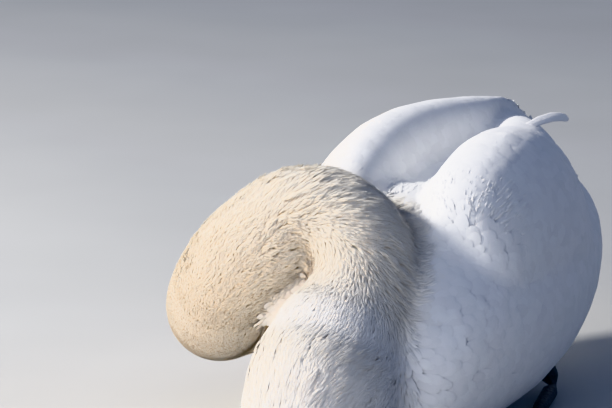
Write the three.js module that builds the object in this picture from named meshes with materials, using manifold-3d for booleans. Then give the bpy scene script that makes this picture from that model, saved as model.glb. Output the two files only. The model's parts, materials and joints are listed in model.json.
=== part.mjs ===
// A mute swan at life size, seated on the ground and preening: the neck rises from the breast, arches over
// to the swan's right and comes down, and the head is laid back along the right flank.
//
// Millimetres, +Z up. The breast faces -Y, the tail +Y, and the swan's left side is +X.
// The origin is the middle of the flat of the belly, on the ground. The sizes are those over the plumage.

import * as THREE from "three";
import { mergeVertices } from "three/addons/utils/BufferGeometryUtils.js";
import Module from "manifold-3d";

const wasm = await Module();
wasm.setup();

// ---------------------------------------------------------------- driving dimensions

const GAP = 0.3; // between neighbouring pieces
const V = (x, y, z) => new THREE.Vector3(x, y, z);

const TRUNK = {
  front: -262, // breast, under the neck
  rear: 318, // root of the tail
  halfWidth: 160,
  backHeight: 262,
  widestHeight: 140,
  flatDepth: 5, // how much of the belly the ground flattens
};
const WING = {
  wrist: -160, // foremost point, at the bend of the folded wing
  rear: 385,
  halfDepth: 106, // half the height of the folded wing, along its lean
  halfWidth: 60,
  lean: THREE.MathUtils.degToRad(18), // the lower edge stands out from the upper one
  // The two wings aren't held quite alike: how much higher each is behind the shoulder, and how much fuller there.
  held: { left: { lift: -17, fullness: 13 }, right: { lift: 3, fullness: 0 } },
};
const WING_TIP = { root: V(44, 300, 205), tip: V(16, 452, 166), halfWidth: 27, thickness: 18 };
const TAIL = {
  root: 286,
  tip: 500,
  rootHeight: 168,
  tipHeight: 134,
  halfWidth: 62,
  tipHalfWidth: 16,
  thickness: 30,
};
const NECK = {
  endRadius: 26,
  baseRadius: 84,
  riseRadius: 64,
  archRadius: 58,
  fallRadius: 56,
  headRadius: 35,
};
const HEAD = {
  centre: V(-197, -8, 80), // between the eyes
  forward: V(0.2, 0.97, -0.13), // the way the bill points
  crown: V(-0.6, -0.1, -0.79), // the way the top of the head faces
  back: 58, // from the eyes to the back of the head
  front: 46, // from the eyes to the root of the bill
  halfWidth: 32,
  halfHeight: 38,
};
const EYE = { radius: 6.6, place: V(26.5, -12, 8) };
const BILL = { length: 84, rootHalfWidth: 17, tipHalfWidth: 16.5, rootDepth: 19, tipDepth: 4.5, seam: -6 };
const KNOB = { size: V(9.5, 12.5, 10.5), place: V(0, -HEAD.front - 3, 12) };
const FOOT = {
  toeJoint: V(116, -26, 0),
  middleToe: 138,
  sideToe: 112,
  outerToe: 126,
  spread: 0.36, // radians between the toes
  turnedOut: 0.2,
};
const SHANK = { heel: V(106, 82, 10), thigh: V(84, 96, 44), toeRadius: 8.2, heelRadius: 9.6 };

// ---------------------------------------------------------------- shape functions

const clamp = THREE.MathUtils.clamp;
const lerp = THREE.MathUtils.lerp;
const smooth = (t, from = 0, to = 1) => THREE.MathUtils.smoothstep(t, from, to);

// A quarter of a superellipse: 0 at t = 0, 1 at t = 1. roundness 1 is straight, 2 round, 3 blunt.
const rise = (t, roundness) => (1 - (1 - clamp(t, 0, 1)) ** roundness) ** (1 / roundness);

// Goes from `front` at u = 0 through `peak` at u = peakAt to `rear` at u = 1.
function arc(u, peakAt, front, peak, rear, frontRound = 2, rearRound = 2) {
  return u < peakAt
    ? lerp(front, peak, rise(u / peakAt, frontRound))
    : lerp(rear, peak, rise((1 - u) / (1 - peakAt), rearRound));
}

// One ring of a superellipse section: `at` places the point that lies c across and s up.
function ring(sides, at, exponent = 2) {
  const signedPower = (x) => Math.sign(x) * Math.abs(x) ** (2 / exponent);
  return Array.from({ length: sides }, (_, k) => {
    const angle = (2 * Math.PI * k) / sides;
    return at(signedPower(Math.cos(angle)), signedPower(Math.sin(angle)));
  });
}

// A closed body through the rings, with a fan over each end.
function skinOf(rings) {
  const sides = rings[0].length;
  const points = rings.flat();
  const index = [];
  for (let r = 0; r + 1 < rings.length; r++) {
    for (let k = 0; k < sides; k++) {
      const a = r * sides + k;
      const b = r * sides + ((k + 1) % sides);
      index.push(a, b, a + sides, b, b + sides, a + sides);
    }
  }
  for (const [r, turned] of [[0, true], [rings.length - 1, false]]) {
    const middle = rings[r].reduce((sum, p) => sum.add(p), V(0, 0, 0)).divideScalar(sides);
    const centre = points.push(middle) - 1;
    for (let k = 0; k < sides; k++) {
      const a = r * sides + k;
      const b = r * sides + ((k + 1) % sides);
      index.push(...(turned ? [b, a, centre] : [a, b, centre]));
    }
  }
  const geometry = new THREE.BufferGeometry().setFromPoints(points);
  geometry.setIndex(index);
  return geometry;
}

// Steps from 0 to 1 that crowd towards both ends, where a body is roundest.
const steps = (count) =>
  Array.from({ length: count + 1 }, (_, i) => (1 - Math.cos((Math.PI * i) / count)) / 2);

// ---------------------------------------------------------------- solids

function solid(geometry) {
  const bare = geometry.clone();
  bare.deleteAttribute("normal");
  bare.deleteAttribute("uv");
  const merged = mergeVertices(bare, 1e-4);
  const vertProperties = new Float32Array(merged.attributes.position.array);
  const triVerts = new Uint32Array(merged.index.array);
  const made = new wasm.Manifold(new wasm.Mesh({ numProp: 3, vertProperties, triVerts }));
  if (made.volume() > 0) return made;
  triVerts.reverse();
  return new wasm.Manifold(new wasm.Mesh({ numProp: 3, vertProperties, triVerts }));
}

const largest = (made) => made.decompose().reduce((a, b) => (a.volume() > b.volume() ? a : b));

function geometryOf(made) {
  const { numProp, vertProperties, triVerts } = largest(made).getMesh();
  const position = new Float32Array((vertProperties.length / numProp) * 3);
  for (let i = 0; i * numProp < vertProperties.length; i++) {
    position.set(vertProperties.subarray(i * numProp, i * numProp + 3), i * 3);
  }
  const geometry = new THREE.BufferGeometry();
  geometry.setAttribute("position", new THREE.BufferAttribute(position, 3));
  geometry.setIndex(new THREE.BufferAttribute(triVerts, 1));
  geometry.computeVertexNormals();
  return geometry;
}

const moved = (made, matrix) => made.transform(matrix.elements);

function block(low, high) {
  const size = high.clone().sub(low);
  const middle = low.clone().add(high).divideScalar(2);
  return solid(new THREE.BoxGeometry(size.x, size.y, size.z).translate(middle.x, middle.y, middle.z));
}

// A slice one gap thick that lies square across a line, to part what it passes through.
function thinSlice(middle, along, side) {
  const slice = new THREE.BoxGeometry(side, side, GAP);
  const turn = new THREE.Quaternion().setFromUnitVectors(V(0, 0, 1), along.clone().normalize());
  return solid(slice.applyQuaternion(turn).translate(middle.x, middle.y, middle.z));
}

// The separate bodies of `whole`, one for each of the places, each the nearest to its own.
function partedAt(whole, places) {
  const bodies = whole.decompose();
  const middleOf = (made) => {
    const position = geometryOf(made).getAttribute("position");
    return new THREE.Box3().setFromBufferAttribute(position).getCenter(V(0, 0, 0));
  };
  return places.map((place) => {
    const away = (made) => middleOf(made).distanceTo(place);
    return bodies.reduce((a, b) => (away(a) < away(b) ? a : b));
  });
}

const FAR = 900;
const GROUND = block(V(-FAR, -FAR, -FAR), V(FAR, FAR, 0)); // all that lies below the ground
const LEFT_HALF = block(V(GAP / 2, -FAR, -FAR), V(FAR, FAR, FAR));
const SIDES = [
  { name: "left", side: new THREE.Matrix4() },
  { name: "right", side: new THREE.Matrix4().makeScale(-1, 1, 1) },
];

// ---------------------------------------------------------------- trunk

function trunk(grow = 0) {
  const { front, rear, halfWidth, backHeight, widestHeight, flatDepth } = TRUNK;
  const rings = steps(18).map((u) => {
    const y = lerp(front - grow, rear + grow, u);
    const width = arc(u, 0.47, 62, halfWidth, 46, 1.95, 1.8) + grow;
    const back = arc(u, 0.56, 100, backHeight, 196, 2.4, 1.8) + grow;
    const belly = arc(u, 0.42, 24, -flatDepth, 150, 2.3, 1.55) - grow;
    const middle = arc(u, 0.5, 92, widestHeight, 174, 2, 1.6);
    return ring(26, (c, s) => V(c * width, y, middle + s * (s > 0 ? back - middle : middle - belly)), 2.15);
  });
  return solid(skinOf(rings));
}

// ---------------------------------------------------------------- tail

function tail(grow = 0) {
  const rings = steps(8).map((u) => {
    const width = arc(u, 0.35, 48, TAIL.halfWidth, TAIL.tipHalfWidth, 2, 1.6) + grow;
    const thickness = lerp(TAIL.thickness, 5, smooth(u, 0, 0.7)) / 2 + grow;
    const y = lerp(TAIL.root, TAIL.tip + grow, u);
    const height = lerp(TAIL.rootHeight, TAIL.tipHeight, u);
    const roof = (c) => -9 * c * c; // the feathers lie like a shallow roof
    return ring(18, (c, s) => V(c * width, y, height + s * thickness + roof(c)), 2.2);
  });
  return solid(skinOf(rings));
}

// ---------------------------------------------------------------- folded wing, the swan's left

function wing({ lift, fullness }, grow = 0) {
  const out = V(Math.cos(WING.lean), 0, Math.sin(WING.lean));
  const up = V(-Math.sin(WING.lean), 0, Math.cos(WING.lean));
  const rings = steps(15).map((u) => {
    const inward = smooth(u, 0.34, 0.93); // the two wings close up over the rump
    const fuller = fullness * smooth(u, 0, 0.1) * (1 - smooth(u, 0.3, 0.66)); // towards the middle of the back
    const middle = V(
      lerp(arc(u, 0.34, 70, 92, 92), 15, inward) - fuller,
      lerp(WING.wrist - grow, WING.rear + grow, u),
      arc(u, 0.35, 196, 212, 192, 2, 1.8) + lift * smooth(u, 0.25, 0.5) + 0.35 * fuller,
    );
    const halfDepth = arc(u, 0.45, 50, WING.halfDepth, 20, 2.2, 2.2) + grow;
    const halfWidth = arc(u, 0.4, 32, WING.halfWidth, 10, 2, 1.7) + fuller + grow;
    return ring(22, (c, s) =>
      middle.clone().addScaledVector(out, c * halfWidth).addScaledVector(up, s * halfDepth), 2.1);
  });
  return solid(skinOf(rings));
}

// The long flight feathers: a flat blade that runs on from the wing and over the root of the tail.
function wingTip() {
  const tilt = 0.35; // the outer edge of the blade lies lower
  const rings = steps(8).map((u) => {
    const middle = WING_TIP.root.clone().lerp(WING_TIP.tip, u);
    const width = arc(u, 0.2, 16, WING_TIP.halfWidth, 5, 2, 1.5);
    const thickness = arc(u, 0.2, 0.8, 1, 0.16, 2, 1.4) * WING_TIP.thickness / 2;
    return ring(12, (c, s) => V(middle.x + c * width, middle.y, middle.z + s * thickness - c * tilt * width));
  });
  return solid(skinOf(rings));
}

// ---------------------------------------------------------------- neck

const neckLine = new THREE.CatmullRomCurve3(
  [
    V(-34, -238, -2), // under the breast, where the plumage of the neck rounds off
    V(-37, -272, 34),
    V(-36, -284, 80),
    V(-30, -250, 126),
    V(-24, -217, 168),
    V(-27, -199, 202),
    V(-48, -190, 234),
    V(-84, -190, 246),
    V(-123, -198, 225),
    V(-162, -197, 187),
    V(-194, -167, 143),
    V(-210, -122, 112),
    V(-214, -80, 92),
    V(-208, -40, 84), // inside the back of the head
  ],
  false,
  "centripetal",
);
const NECK_STEPS = 34;

function neckRadius(t) {
  const low = lerp(NECK.endRadius, NECK.baseRadius, rise(t / 0.13, 2));
  const risen = lerp(low, NECK.riseRadius, smooth(t, 0.14, 0.4));
  const arched = lerp(risen, NECK.archRadius, smooth(t, 0.4, 0.52));
  const fallen = lerp(arched, NECK.fallRadius, smooth(t, 0.58, 0.78));
  return lerp(fallen, NECK.headRadius, smooth(t, 0.8, 1));
}

// On the inside of a bend the plumage is pressed in, to less than the radius of the bend.
function pressedIn(offset, t) {
  const step = 0.012;
  const [before, after] = [Math.max(t - step, 0), Math.min(t + step, 1)];
  const turn = neckLine.getTangentAt(after).sub(neckLine.getTangentAt(before));
  const bendRadius = ((after - before) * neckLine.getLength()) / turn.length();
  const inward = turn.normalize();
  const depth = Math.max(offset.dot(inward), 0);
  const room = 0.85 * bendRadius;
  return offset.addScaledVector(inward, room * Math.tanh(depth / room) - depth);
}

function neck() {
  const frames = neckLine.computeFrenetFrames(NECK_STEPS);
  const rings = Array.from({ length: NECK_STEPS + 1 }, (_, k) => {
    const t = k / NECK_STEPS;
    const middle = neckLine.getPointAt(t);
    const radius = neckRadius(t);
    return ring(18, (c, s) => {
      const offset = frames.normals[k].clone().multiplyScalar(c * radius);
      return pressedIn(offset.addScaledVector(frames.binormals[k], s * radius), t).add(middle);
    });
  });
  return solid(skinOf(rings));
}

// ---------------------------------------------------------------- head

// The head has its own frame: the bill points to -Y, the crown to +Z, and the swan's left is +X.
const headBack = HEAD.forward.clone().normalize().negate();
const headUp = HEAD.crown.clone().addScaledVector(headBack, -HEAD.crown.dot(headBack)).normalize();
const headLeft = headBack.clone().cross(headUp);
const headPlace = new THREE.Matrix4().makeBasis(headLeft, headBack, headUp).setPosition(HEAD.centre);

function head() {
  const rings = steps(10).map((u) => {
    const y = lerp(HEAD.back, -HEAD.front, u);
    const width = arc(u, 0.42, 14, HEAD.halfWidth, BILL.rootHalfWidth + 1, 2, 1.5);
    const top = arc(u, 0.48, 14, HEAD.halfHeight, 15, 2, 1.6);
    const bottom = arc(u, 0.4, 18, HEAD.halfHeight - 6, 19, 2, 1.4);
    return ring(18, (c, s) => V(c * width, y, s * (s > 0 ? top : bottom) - 4 * u), 2.1);
  });
  return solid(skinOf(rings));
}

// Half of the bill: `side` 1 is the upper half and -1 the lower one.
function billHalf(side) {
  const upper = side > 0;
  const length = upper ? BILL.length : BILL.length - 4;
  const rings = steps(9).map((u) => {
    const y = -HEAD.front - GAP - u * length;
    const broad = lerp(BILL.rootHalfWidth, BILL.tipHalfWidth, smooth(u, 0, 0.7)) - (upper ? 0 : 2.5);
    const width = broad * Math.sqrt(1 - smooth(u, 0.62, 1.08) ** 2);
    const depth = upper ? lerp(BILL.rootDepth, BILL.tipDepth, rise(u, 1.35)) : lerp(11, 2.6, rise(u, 1.2));
    const edge = BILL.seam + side * GAP - 5 * u;
    return ring(14, (c, s) => V(c * width, y, edge + (s * side > 0 ? s * depth : 0)), 2.3);
  });
  return solid(skinOf(rings));
}

function eyeBall(side, grow = 0) {
  const { radius, place } = EYE;
  return solid(new THREE.SphereGeometry(radius + grow, 12, 8).translate(side * place.x, place.y, place.z));
}

// The fleshy knob over the root of the bill.
function knob(grow = 0) {
  const { size, place } = KNOB;
  const ball = new THREE.SphereGeometry(1, 12, 8).scale(size.x + grow, size.y + grow, size.z + grow);
  return solid(ball.translate(place.x, place.y, place.z));
}

// ---------------------------------------------------------------- legs, the swan's left

// A tapered rod between two points, its ends rounded.
function rod(from, to, fromRadius, toRadius) {
  const axis = to.clone().sub(from);
  const across = V(0, 0, 1).cross(axis).normalize();
  const over = axis.clone().cross(across).normalize();
  const rings = steps(3).map((u) => {
    const radius = lerp(fromRadius, toRadius, u) * arc(u, 0.5, 0.35, 1, 0.35, 5, 5);
    return ring(8, (c, s) =>
      from.clone()
        .addScaledVector(axis, u)
        .addScaledVector(across, c * radius)
        .addScaledVector(over, s * radius));
  });
  return solid(skinOf(rings));
}

// Three webbed toes forward and a small one behind, flat on the ground.
function foot() {
  const joint = FOOT.toeJoint;
  const toes = [[-FOOT.spread, FOOT.sideToe], [0, FOOT.middleToe], [FOOT.spread, FOOT.outerToe]];
  const along = ([turn, length], share) => {
    const angle = FOOT.turnedOut + turn;
    return joint.clone().addScaledVector(V(Math.sin(angle), -Math.cos(angle), 0), length * share);
  };
  const webEnd = toes.map((toe) => along(toe, 0.9));
  const webSag = [0, 1].map((i) => along(toes[i], 0.74).add(along(toes[i + 1], 0.74)).divideScalar(2));

  const web = new THREE.Shape();
  web.moveTo(joint.x - 10, joint.y);
  web.lineTo(webEnd[0].x, webEnd[0].y);
  web.quadraticCurveTo(webSag[0].x, webSag[0].y, webEnd[1].x, webEnd[1].y);
  web.quadraticCurveTo(webSag[1].x, webSag[1].y, webEnd[2].x, webEnd[2].y);
  web.lineTo(joint.x + 10, joint.y);
  web.closePath();
  const webbed = solid(new THREE.ExtrudeGeometry(web, { depth: 3, bevelEnabled: false, curveSegments: 4 }));

  const forward = toes.map((toe) => rod(joint.clone().setZ(6), along(toe, 1).setZ(3.4), 7.2, 3.6));
  const hind = rod(joint.clone().add(V(-8, 2, 6)), joint.clone().add(V(-21, 22, 4)), 4.4, 2.8);
  return [...forward, hind].reduce((sum, toe) => sum.add(toe), webbed);
}

function leg() {
  const ankle = FOOT.toeJoint.clone().setZ(8.5);
  const shank = rod(ankle, SHANK.heel, SHANK.toeRadius, SHANK.heelRadius);
  const thigh = rod(SHANK.heel, SHANK.thigh, SHANK.heelRadius, SHANK.heelRadius + 3);
  return foot().add(shank).add(thigh).subtract(GROUND);
}

// ---------------------------------------------------------------- pieces, parted and cut clear of each other

const trunkRoom = trunk(GAP);
const tailSolid = tail().subtract(trunkRoom);

// A wing is divided where its long flight feathers leave it.
function wingPieces({ name, side }) {
  const leftWing = wing(WING.held[name]).add(wingTip()).intersect(LEFT_HALF);
  const cut = thinSlice(V(0, WING.rear - 22, WING_TIP.root.z), V(0, 1, 0), FAR);
  const parted = moved(leftWing, side).subtract(trunkRoom).subtract(tail(GAP)).subtract(cut);
  const places = [V(92, 100, 220), WING_TIP.tip];
  return partedAt(parted, places.map((place) => place.clone().applyMatrix4(side)));
}

// The neck is divided where it leaves the breast, before and after the top of its arch, and at the head.
const NECK_LENGTHS = ["neck_root", "neck_rise", "neck_arch", "neck_fall"];
const NECK_ENDS = [0, 0.33, 0.52, 0.73, 0.965];

function neckAndHead() {
  let whole = neck().add(moved(head(), headPlace)).subtract(GROUND);
  whole = whole.subtract(trunkRoom);
  for (const { name, side } of SIDES) whole = whole.subtract(moved(wing(WING.held[name], GAP), side));
  for (const t of NECK_ENDS.slice(1)) {
    whole = whole.subtract(thinSlice(neckLine.getPointAt(t), neckLine.getTangentAt(t), 2.7 * neckRadius(t)));
  }
  const middles = NECK_LENGTHS.map((_, i) => neckLine.getPointAt((NECK_ENDS[i] + NECK_ENDS[i + 1]) / 2));
  return partedAt(whole, [...middles, HEAD.centre]);
}

function legPieces({ side }) {
  const { toeJoint } = FOOT;
  const way = SHANK.heel.clone().sub(toeJoint).setZ(0);
  const cut = thinSlice(toeJoint.clone().addScaledVector(way, 0.12), way, 80);
  const parted = moved(leg().subtract(cut), side).subtract(trunkRoom);
  const places = [toeJoint.clone().setY(-80), SHANK.heel];
  return partedAt(parted, places.map((place) => place.clone().applyMatrix4(side)));
}

// ---------------------------------------------------------------- materials

const finish = (color, roughness) => new THREE.MeshStandardMaterial({ color, roughness, metalness: 0 });
const white = finish("#f2f3f5", 0.75);
const cream = finish("#e9dfcc", 0.8);
const orange = finish("#d9622b", 0.45);
const black = finish("#1c1a19", 0.5);
const slate = finish("#3b3a39", 0.6);
const darkEye = finish("#17100c", 0.1);

// ---------------------------------------------------------------- the scene graph

const swan = new THREE.Group();

function piece(parent, name, made, material) {
  const mesh = new THREE.Mesh(geometryOf(made), material);
  mesh.name = name;
  parent.add(mesh);
}

piece(swan, "trunk", trunk().subtract(GROUND), white);
piece(swan, "tail", tailSolid, white);

for (const half of SIDES) {
  const [wingSolid, wingTipSolid] = wingPieces(half);
  const [footSolid, shankSolid] = legPieces(half);
  piece(swan, `wing_${half.name}`, wingSolid, white);
  piece(swan, `wing_tip_${half.name}`, wingTipSolid, white);
  piece(swan, `foot_${half.name}`, footSolid, slate);
  piece(swan, `shank_${half.name}`, shankSolid, slate);
}

const [neckRoot, neckRise, neckArch, neckFall, headWhole] = neckAndHead();
piece(swan, "neck_root", neckRoot, white);
piece(swan, "neck_rise", neckRise, cream);
piece(swan, "neck_arch", neckArch, cream);
piece(swan, "neck_fall", neckFall, cream);

const headRooms = eyeBall(1, GAP).add(eyeBall(-1, GAP)).add(knob(GAP));
const inHead = headPlace.clone().invert();
const headGroup = new THREE.Group();
headGroup.applyMatrix4(headPlace);
swan.add(headGroup);
piece(headGroup, "head", moved(headWhole, inHead).subtract(headRooms), cream);
piece(headGroup, "bill_upper", billHalf(1).subtract(knob(GAP)), orange);
piece(headGroup, "bill_lower", billHalf(-1), orange);
piece(headGroup, "bill_knob", knob(), black);
piece(headGroup, "eye_left", eyeBall(1), darkEye);
piece(headGroup, "eye_right", eyeBall(-1), darkEye);

export default swan;
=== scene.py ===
# %% [markdown]
# A mute swan at life size, seated and preening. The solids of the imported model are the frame: they give the
# true outline over the plumage. This script puts one smooth skin just inside them, then lays the plumage
# over it as modelled feathers, from velvet on the face to long quills on the wings and tail. The bill,
# knob, eyes and legs are pieces of their own. All lengths are in metres; the breast faces -Y and the swan's
# left side is +X.

# %% Load the frame
import json
import math
from contextlib import contextmanager

import bmesh
import bpy
import numpy as np
from mathutils import Matrix, Vector, noise
from mathutils.bvhtree import BVHTree
from mathutils.kdtree import KDTree

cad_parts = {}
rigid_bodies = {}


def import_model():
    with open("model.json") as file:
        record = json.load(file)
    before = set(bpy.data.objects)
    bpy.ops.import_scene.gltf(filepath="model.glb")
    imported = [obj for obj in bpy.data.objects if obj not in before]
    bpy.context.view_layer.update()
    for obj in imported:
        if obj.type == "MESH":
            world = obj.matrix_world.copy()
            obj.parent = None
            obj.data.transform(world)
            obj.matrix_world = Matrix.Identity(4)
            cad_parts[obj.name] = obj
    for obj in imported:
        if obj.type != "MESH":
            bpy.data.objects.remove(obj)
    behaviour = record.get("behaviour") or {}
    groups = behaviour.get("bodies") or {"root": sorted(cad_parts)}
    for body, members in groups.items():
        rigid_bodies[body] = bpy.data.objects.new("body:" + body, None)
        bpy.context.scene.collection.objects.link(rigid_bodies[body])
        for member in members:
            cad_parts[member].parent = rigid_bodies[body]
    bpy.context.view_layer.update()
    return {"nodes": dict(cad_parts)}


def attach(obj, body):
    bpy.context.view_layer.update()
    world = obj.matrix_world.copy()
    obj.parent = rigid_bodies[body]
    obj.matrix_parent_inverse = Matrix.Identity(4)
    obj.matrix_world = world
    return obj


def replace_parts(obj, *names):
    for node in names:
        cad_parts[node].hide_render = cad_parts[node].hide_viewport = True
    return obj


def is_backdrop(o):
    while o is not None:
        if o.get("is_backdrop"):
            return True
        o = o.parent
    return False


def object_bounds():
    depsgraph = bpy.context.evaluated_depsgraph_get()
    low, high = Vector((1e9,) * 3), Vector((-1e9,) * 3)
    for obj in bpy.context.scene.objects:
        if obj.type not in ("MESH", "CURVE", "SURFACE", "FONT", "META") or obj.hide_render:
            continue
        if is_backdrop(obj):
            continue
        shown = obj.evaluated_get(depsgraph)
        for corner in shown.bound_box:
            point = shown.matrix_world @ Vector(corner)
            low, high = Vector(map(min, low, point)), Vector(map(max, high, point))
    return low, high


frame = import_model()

MM = 0.001
SIDE_NAMES = {1: "left", -1: "right"}  # the swan's own sides, along +X and -X
rng = np.random.default_rng(11)  # seeded, so that every run lays the same feathers


# %% [markdown]
# A few helpers are used on every piece. Operators act on whatever is selected, and loading the frame leaves
# its nodes selected, so one helper deselects everything first, and another opens one piece for editing. A
# third puts numpy arrays into a mesh, because thousands of feathers placed one by one with operators would
# take hours.

# %% Selecting, welding and applying
WELD = 0.02 * MM  # points nearer than this are one


def only(*objects):
    """Selects these objects and nothing else; the last one is active."""
    bpy.ops.object.select_all(action="DESELECT")
    for obj in objects:
        obj.select_set(True)
    bpy.context.view_layer.objects.active = objects[-1]


@contextmanager
def editing(obj):
    """Edit mode on one piece, with all its points selected. It gives the open mesh."""
    only(obj)
    bpy.ops.object.mode_set(mode="EDIT")
    bpy.ops.mesh.select_mode(type="VERT")
    bpy.ops.mesh.select_all(action="SELECT")
    yield bmesh.from_edit_mesh(obj.data)
    bpy.ops.object.mode_set(mode="OBJECT")


def pick(shape, wanted):
    """In an open mesh, selects the points that pass a test and nothing else."""
    for point in shape.verts:
        point.select = wanted(point.co)
    shape.select_flush_mode()


def apply_modifier(obj, kind, **settings):
    only(obj)
    modifier = obj.modifiers.new(kind.title(), kind)
    for key, value in settings.items():
        setattr(modifier, key, value)
    bpy.ops.object.modifier_apply(modifier=modifier.name)


def copy_of(names, title):
    """One new object from copies of these CAD nodes, its loose triangles welded."""
    copies = []
    for name in names:
        copy = bpy.data.objects.new(title, frame["nodes"][name].data.copy())
        copy.data.materials.clear()
        bpy.context.scene.collection.objects.link(copy)
        copies.append(copy)
    only(*copies)
    if len(copies) > 1:
        bpy.ops.object.join()
    joined = bpy.context.view_layer.objects.active
    joined.name = joined.data.name = title
    with editing(joined):
        bpy.ops.mesh.remove_doubles(threshold=WELD)
    return joined


def points_of(obj):
    co = np.empty(len(obj.data.vertices) * 3)
    obj.data.vertices.foreach_get("co", co)
    return co.reshape(-1, 3)


def set_points(obj, points):
    obj.data.vertices.foreach_set("co", np.ascontiguousarray(points, dtype=np.float32).ravel())
    obj.data.update()


def normals_of(obj):
    normals = np.empty(len(obj.data.vertices) * 3)
    obj.data.vertices.foreach_get("normal", normals)
    return normals.reshape(-1, 3)


def attribute(obj, name, values):
    """A number at every vertex, for a material to read."""
    made = obj.data.attributes.new(name, "FLOAT", "POINT")
    made.data.foreach_set("value", np.ascontiguousarray(values, dtype=np.float32))


def unit(vectors):
    return vectors / np.maximum(np.linalg.norm(vectors, axis=-1, keepdims=True), 1e-9)


def smooth(values, low, high):
    """0 below low, 1 above high, and an even S between them."""
    share = np.clip((values - low) / (high - low), 0, 1)
    return share * share * (3 - 2 * share)


def near_ring(values, middle, breadth):
    """1 at the middle, falling off like a bell."""
    return np.exp(-((values - middle) / breadth) ** 2)


print("helpers ready")

# %% [markdown]
# Materials are made with nodes. A colour is picked as an sRGB hex value and turned to linear here, once.
# One small function adds a node, sets its inputs and joins its links, so each material below reads as a
# short list.

# %% Colours and nodes
def linear(hex_colour):
    channels = [int(hex_colour[i:i + 2], 16) / 255 for i in (1, 3, 5)]
    return [c / 12.92 if c <= 0.04045 else ((c + 0.055) / 1.055) ** 2.4 for c in channels] + [1.0]


def node(tree, kind, inputs=None, stops=(), **settings):
    """Adds a node. An input is a number, a colour or another node's output; a ramp has (place, hex) stops."""
    made = tree.nodes.new("ShaderNode" + kind)
    for key, value in settings.items():
        setattr(made, key, value)
    for i, (place, colour) in enumerate(stops):
        stop = made.color_ramp.elements[i] if i < 2 else made.color_ramp.elements.new(place)
        stop.position, stop.color = place, linear(colour)
    for key, value in (inputs or {}).items():
        if isinstance(value, bpy.types.NodeSocket):
            tree.links.new(value, made.inputs[key])
        else:
            made.inputs[key].default_value = value
    return made


def new_material(name, **shader_inputs):
    material = bpy.data.materials.new(name)
    material.use_nodes = True
    shader = material.node_tree.nodes["Principled BSDF"]
    for key, value in shader_inputs.items():
        shader.inputs[key.replace("_", " ")].default_value = value
    return material, material.node_tree, shader


print("sRGB mid grey in linear:", round(linear("#808080")[0], 3))

# %% [markdown]
# The camera is far off with a long lens, a little above the back, because a near one would swell the parts
# that come towards it. It could be pointed with a constraint, but three vectors say the same and need
# nothing live.

# %% Camera
CAMERA_PLACE = Vector((1.0118, -3.2083, 1.0015))
CAMERA_RIGHT = Vector((0.9397, 0.3420, 0.0))
CAMERA_UP = Vector((-0.0769, 0.2114, 0.9744))
FOCAL_PIXELS = 3200  # the focal length in pixels of a picture this wide
IMAGE_WIDTH = 612
SENSOR = 36  # mm

lens = bpy.data.cameras.new("camera")
lens.sensor_width = SENSOR
lens.lens = FOCAL_PIXELS / IMAGE_WIDTH * SENSOR
lens.clip_start, lens.clip_end = 0.1, 60  # metres
camera = bpy.data.objects.new("camera", lens)
turned = Matrix((CAMERA_RIGHT, CAMERA_UP, CAMERA_RIGHT.cross(CAMERA_UP))).transposed()
camera.matrix_world = Matrix.Translation(CAMERA_PLACE) @ turned.to_4x4()
bpy.context.scene.collection.objects.link(camera)
bpy.context.scene.camera = camera
print("lens", round(lens.lens, 1), "mm")

# %% [markdown]
# The set is a plain pale floor under soft studio light. The key lamp is high on the swan's right and a
# little in front, as low sun would be, so the arched neck throws its shade on the near wing. A weak fill
# stands in front and a weaker rim light behind. A small warm lamp low on the right stands for the light
# that a lit ground throws back up at the neck, and the world fills all shade with a cool light, as a clear
# sky does.

# %% Floor, world and lamps
FLOOR_SIZE = 40
PAPER_CLOUD = 333 * MM  # the size of a faint lighter or darker patch of the paper
SKY_STRENGTH = 0.31

bpy.ops.object.select_all(action="DESELECT")
bpy.ops.mesh.primitive_plane_add(size=FLOOR_SIZE, location=(0, 0, 0))
floor = bpy.context.view_layer.objects.active
floor.name = floor.data.name = "floor"
# Backdrop paper is matt all over, so the floor shows soft shade and no reflection of the lamps.
material, tree, shader = new_material("studio paper", Roughness=0.9)
where = node(tree, "TexCoord").outputs["Object"]
grain = node(tree, "TexNoise", {"Vector": where, "Scale": 1 / PAPER_CLOUD, "Detail": 2.0}).outputs["Fac"]
paper = node(tree, "ValToRGB", {"Fac": grain}, stops=[(0.3, "#bdbebd"), (0.7, "#c2c3c2")])
tree.links.new(paper.outputs["Color"], shader.inputs["Base Color"])
floor.data.materials.append(material)
floor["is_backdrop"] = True

bpy.context.scene.view_settings.view_transform = "Khronos PBR Neutral"
world = bpy.data.worlds.new("studio")
world.use_nodes = True
background = world.node_tree.nodes["Background"]
background.inputs["Color"].default_value = linear("#adc4f4")
background.inputs["Strength"].default_value = SKY_STRENGTH
bpy.context.scene.world = world


def lamp(name, place, aim, size, power, colour, beam=180):
    """A round soft lamp: its size in metres, its power in watts and the width of its beam in degrees."""
    light = bpy.data.lights.new(name, "AREA")
    light.shape = "DISK"
    light.spread = math.radians(beam)
    light.size, light.energy, light.color = size, power, linear(colour)[:3]
    obj = bpy.data.objects.new(name, light)
    obj.location = place
    obj.rotation_euler = (Vector(aim) - Vector(place)).to_track_quat("-Z", "Y").to_euler()
    bpy.context.scene.collection.objects.link(obj)


lamp("key", (-3.2, -1.15, 2.3), (0, 0, 0.15), 0.7, 244, "#fffaf3")
lamp("fill", (-1.0, -3.4, 1.2), (-0.1, -0.1, 0.15), 2.0, 36, "#eff3ff")
lamp("rim", (0.8, 3.0, 2.2), (0, 0, 0.15), 1.6, 6, "#ffffff")
lamp("bounce", (-0.85, -0.9, 0.1), (-0.22, -0.12, 0.1), 0.4, 1.3, "#ffd9a8", beam=60)
print("4 lamps")

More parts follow.
